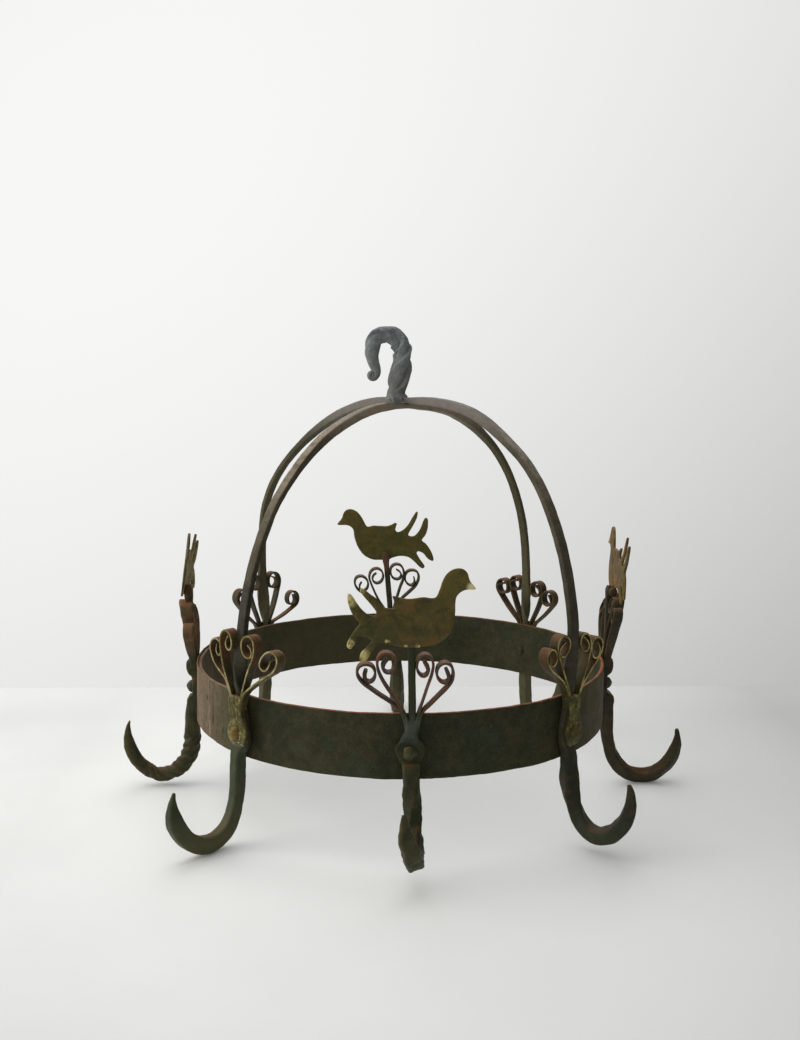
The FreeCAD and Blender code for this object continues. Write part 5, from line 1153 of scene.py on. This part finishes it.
# ------------------------------------------------------------------ floor, light, camera
def stage_floor():
    me = bpy.data.meshes.new("table_top")
    x, y0, y1 = 4.0, -4.0, 0.318
    nx, ny = 8, 8
    verts = [(-x + 2 * x * i / nx, y0 + (y1 - y0) * j / ny, 0.0) for j in range(ny + 1) for i in range(nx + 1)]
    faces = [(j * (nx + 1) + i, j * (nx + 1) + i + 1, (j + 1) * (nx + 1) + i + 1, (j + 1) * (nx + 1) + i) for j in range(ny) for i in range(nx)]
    me.from_pydata(verts, [], faces)
    g = Graph("pale_paper")
    n = g.noise(9.0, 3.0, 0.5)
    base = g.mix(g.ramp(n, 0.3, 0.7), lin(235, 236, 235), lin(239, 240, 239))
    # painted light: the floor is painted darker towards the right, away from the left light
    base = g.mix(g.ramp(g.along((1, 0, 0)), -0.5, 0.55), base, lin(213, 214, 212))
    # painted light: the floor is painted darker to the sides and towards the back, where the light falls off
    fx = g.math("MINIMUM", g.math("MAXIMUM", g.along((1, 0, 0)), -0.31), 0.42)
    fy = g.math("MINIMUM", g.math("MAXIMUM", g.along((0, 1, 0)), -0.42), 0.32)
    painted_floor_light = g.math("ADD", g.math("ADD", 1.045, g.math("MULTIPLY", fy, -0.1308)), g.math("MULTIPLY", g.math("MULTIPLY", fx, fx), -2.0))
    painted_floor_light = g.math("ADD", painted_floor_light, g.math("MULTIPLY", g.math("MULTIPLY", fy, fy), -1.1))
    # painted shadow under the hoop, then painted shade in a patch at the back
    painted_floor_light = g.math("SUBTRACT", painted_floor_light, g.math("MULTIPLY", g.near((-20.0, -20.0, 0.0), 130.0, 130.0), 0.20))
    painted_floor_light = g.math("SUBTRACT", painted_floor_light, g.math("MULTIPLY", g.near((-20.0, 290.0, 0.0), 150.0, 120.0), 0.10))
    # painted light: the far corners are painted brighter
    far = g.math("MULTIPLY", g.ramp(g.along((0, 1, 0)), 0.19, 0.318), g.ramp(g.math("ABSOLUTE", g.along((1, 0, 0))), 0.08, 0.40, 0.0, 0.12))
    painted_floor_light = g.math("ADD", painted_floor_light, far)
    shade = g.t.nodes.new("ShaderNodeCombineColor")
    for k in range(3):
        g.t.links.new(painted_floor_light, shade.inputs[k])
    g.t.links.new(g.mix(1.0, base, shade.outputs[0], "MULTIPLY"), g.bsdf.inputs["Base Color"])
    # the floor's faint emission is a painted glow that lifts its shadows
    g.bsdf.inputs["Emission Color"].default_value = (1.0, 1.0, 0.99, 1.0)
    g.bsdf.inputs["Emission Strength"].default_value = 0.06
    g.bsdf.inputs["Roughness"].default_value = 0.6
    g.bsdf.inputs["Specular IOR Level"].default_value = 0.25
    me.materials.append(g.mat)
    ob = bpy.data.objects.new("table_top", me)
    bpy.context.scene.collection.objects.link(ob)


def area(name, loc, target, size, power, colour=(1, 1, 1)):
    data = bpy.data.lights.new(name, "AREA")
    data.shape = "RECTANGLE"
    data.size, data.size_y = size
    data.energy = power
    data.color = colour
    ob = bpy.data.objects.new(name, data)
    ob.location = loc
    ob.rotation_euler = (Vector(target) - Vector(loc)).to_track_quat("-Z", "Y").to_euler()
    bpy.context.scene.collection.objects.link(ob)


def world():
    w = bpy.data.worlds.new("studio")
    w.use_nodes = True
    t = w.node_tree
    t.nodes.clear()
    out = t.nodes.new("ShaderNodeOutputWorld")
    seen, lit = t.nodes.new("ShaderNodeBackground"), t.nodes.new("ShaderNodeBackground")
    pick, path = t.nodes.new("ShaderNodeMixShader"), t.nodes.new("ShaderNodeLightPath")
    # the backdrop falls off to the right and downwards, and so does the light that it gives
    cut = t.nodes.new("ShaderNodeSeparateXYZ")
    t.links.new(t.nodes.new("ShaderNodeTexCoord").outputs["Generated"], cut.inputs[0])
    side, z = cut.outputs[0], cut.outputs[2]

    def calc(op, a, b):
        n = t.nodes.new("ShaderNodeMath")
        n.operation = op
        for k, v in enumerate((a, b)):
            if hasattr(v, "is_output"):
                t.links.new(v, n.inputs[k])
            else:
                n.inputs[k].default_value = v
        return n.outputs[0]

    x = calc("MINIMUM", calc("MAXIMUM", side, -0.4), 0.4)
    z = calc("MINIMUM", calc("MAXIMUM", z, -0.4), 0.4)
    tone = calc("ADD", calc("ADD", 0.9349, calc("MULTIPLY", z, calc("ADD", 0.1834, calc("MULTIPLY", z, -0.3684)))),
                calc("MULTIPLY", x, calc("ADD", calc("ADD", -0.1806, calc("MULTIPLY", x, -0.3163)), calc("MULTIPLY", z, 0.3158))))
    tone = calc("POWER", calc("MAXIMUM", tone, 0.2), 2.2)
    lift = calc("MAXIMUM", calc("MULTIPLY", calc("ADD", 1.0, calc("MULTIPLY", side, -0.6)), 0.44), 0.0)
    for value, node, tints in ((tone, seen, (1.0, 1.0, 0.992)), (lift, lit, (1.0, 0.995, 0.985))):
        colour = t.nodes.new("ShaderNodeCombineColor")
        for k, m in enumerate(tints):
            t.links.new(calc("MULTIPLY", value, m), colour.inputs[k])
        t.links.new(colour.outputs[0], node.inputs["Color"])
    t.links.new(path.outputs["Is Camera Ray"], pick.inputs[0])
    t.links.new(lit.outputs[0], pick.inputs[1])
    t.links.new(seen.outputs[0], pick.inputs[2])
    t.links.new(pick.outputs[0], out.inputs[0])
    bpy.context.scene.world = w


def camera():
    """Set where the hoop's outline and the heights of the parts put it."""
    turn = math.radians(-1.8)
    pitch, roll = math.radians(7.336), math.radians(0.316)
    spin = Matrix.Rotation(turn, 3, "Z")
    fw = spin @ Vector((0, math.cos(pitch), -math.sin(pitch)))
    rt = spin @ Vector((1, 0, 0))
    up = spin @ Vector((0, math.sin(pitch), math.cos(pitch)))
    x = rt * math.cos(roll) + up * math.sin(roll)
    y = -rt * math.sin(roll) + up * math.cos(roll)
    m = Matrix((x, y, -fw)).transposed().to_4x4()
    m.translation = spin @ Vector((-0.0018, -0.9902, 0.0)) + Vector((0, 0, 0.3657))
    data = bpy.data.cameras.new("camera")
    data.sensor_fit = "AUTO"
    data.sensor_width = 36.0
    data.lens = 36.0 * 1145.265 / 1040.0
    data.clip_start, data.clip_end = 0.02, 50.0
    ob = bpy.data.objects.new("camera", data)
    ob.matrix_world = m
    bpy.context.scene.collection.objects.link(ob)
    bpy.context.scene.camera = ob


stage_floor()
world()
area("softbox_top", (-0.35, 0.35, 1.9), (0, 0, 0.1), (2.2, 2.0), 21.0)
area("softbox_left", (-1.9, -0.2, 0.9), (0, 0, 0.15), (1.6, 1.6), 20.0, (1.0, 0.97, 0.9))
area("softbox_back", (0.3, 1.7, 1.2), (0, 0, 0.15), (1.8, 1.0), 7.0)
camera()
bpy.context.scene.view_settings.view_transform = "Standard"
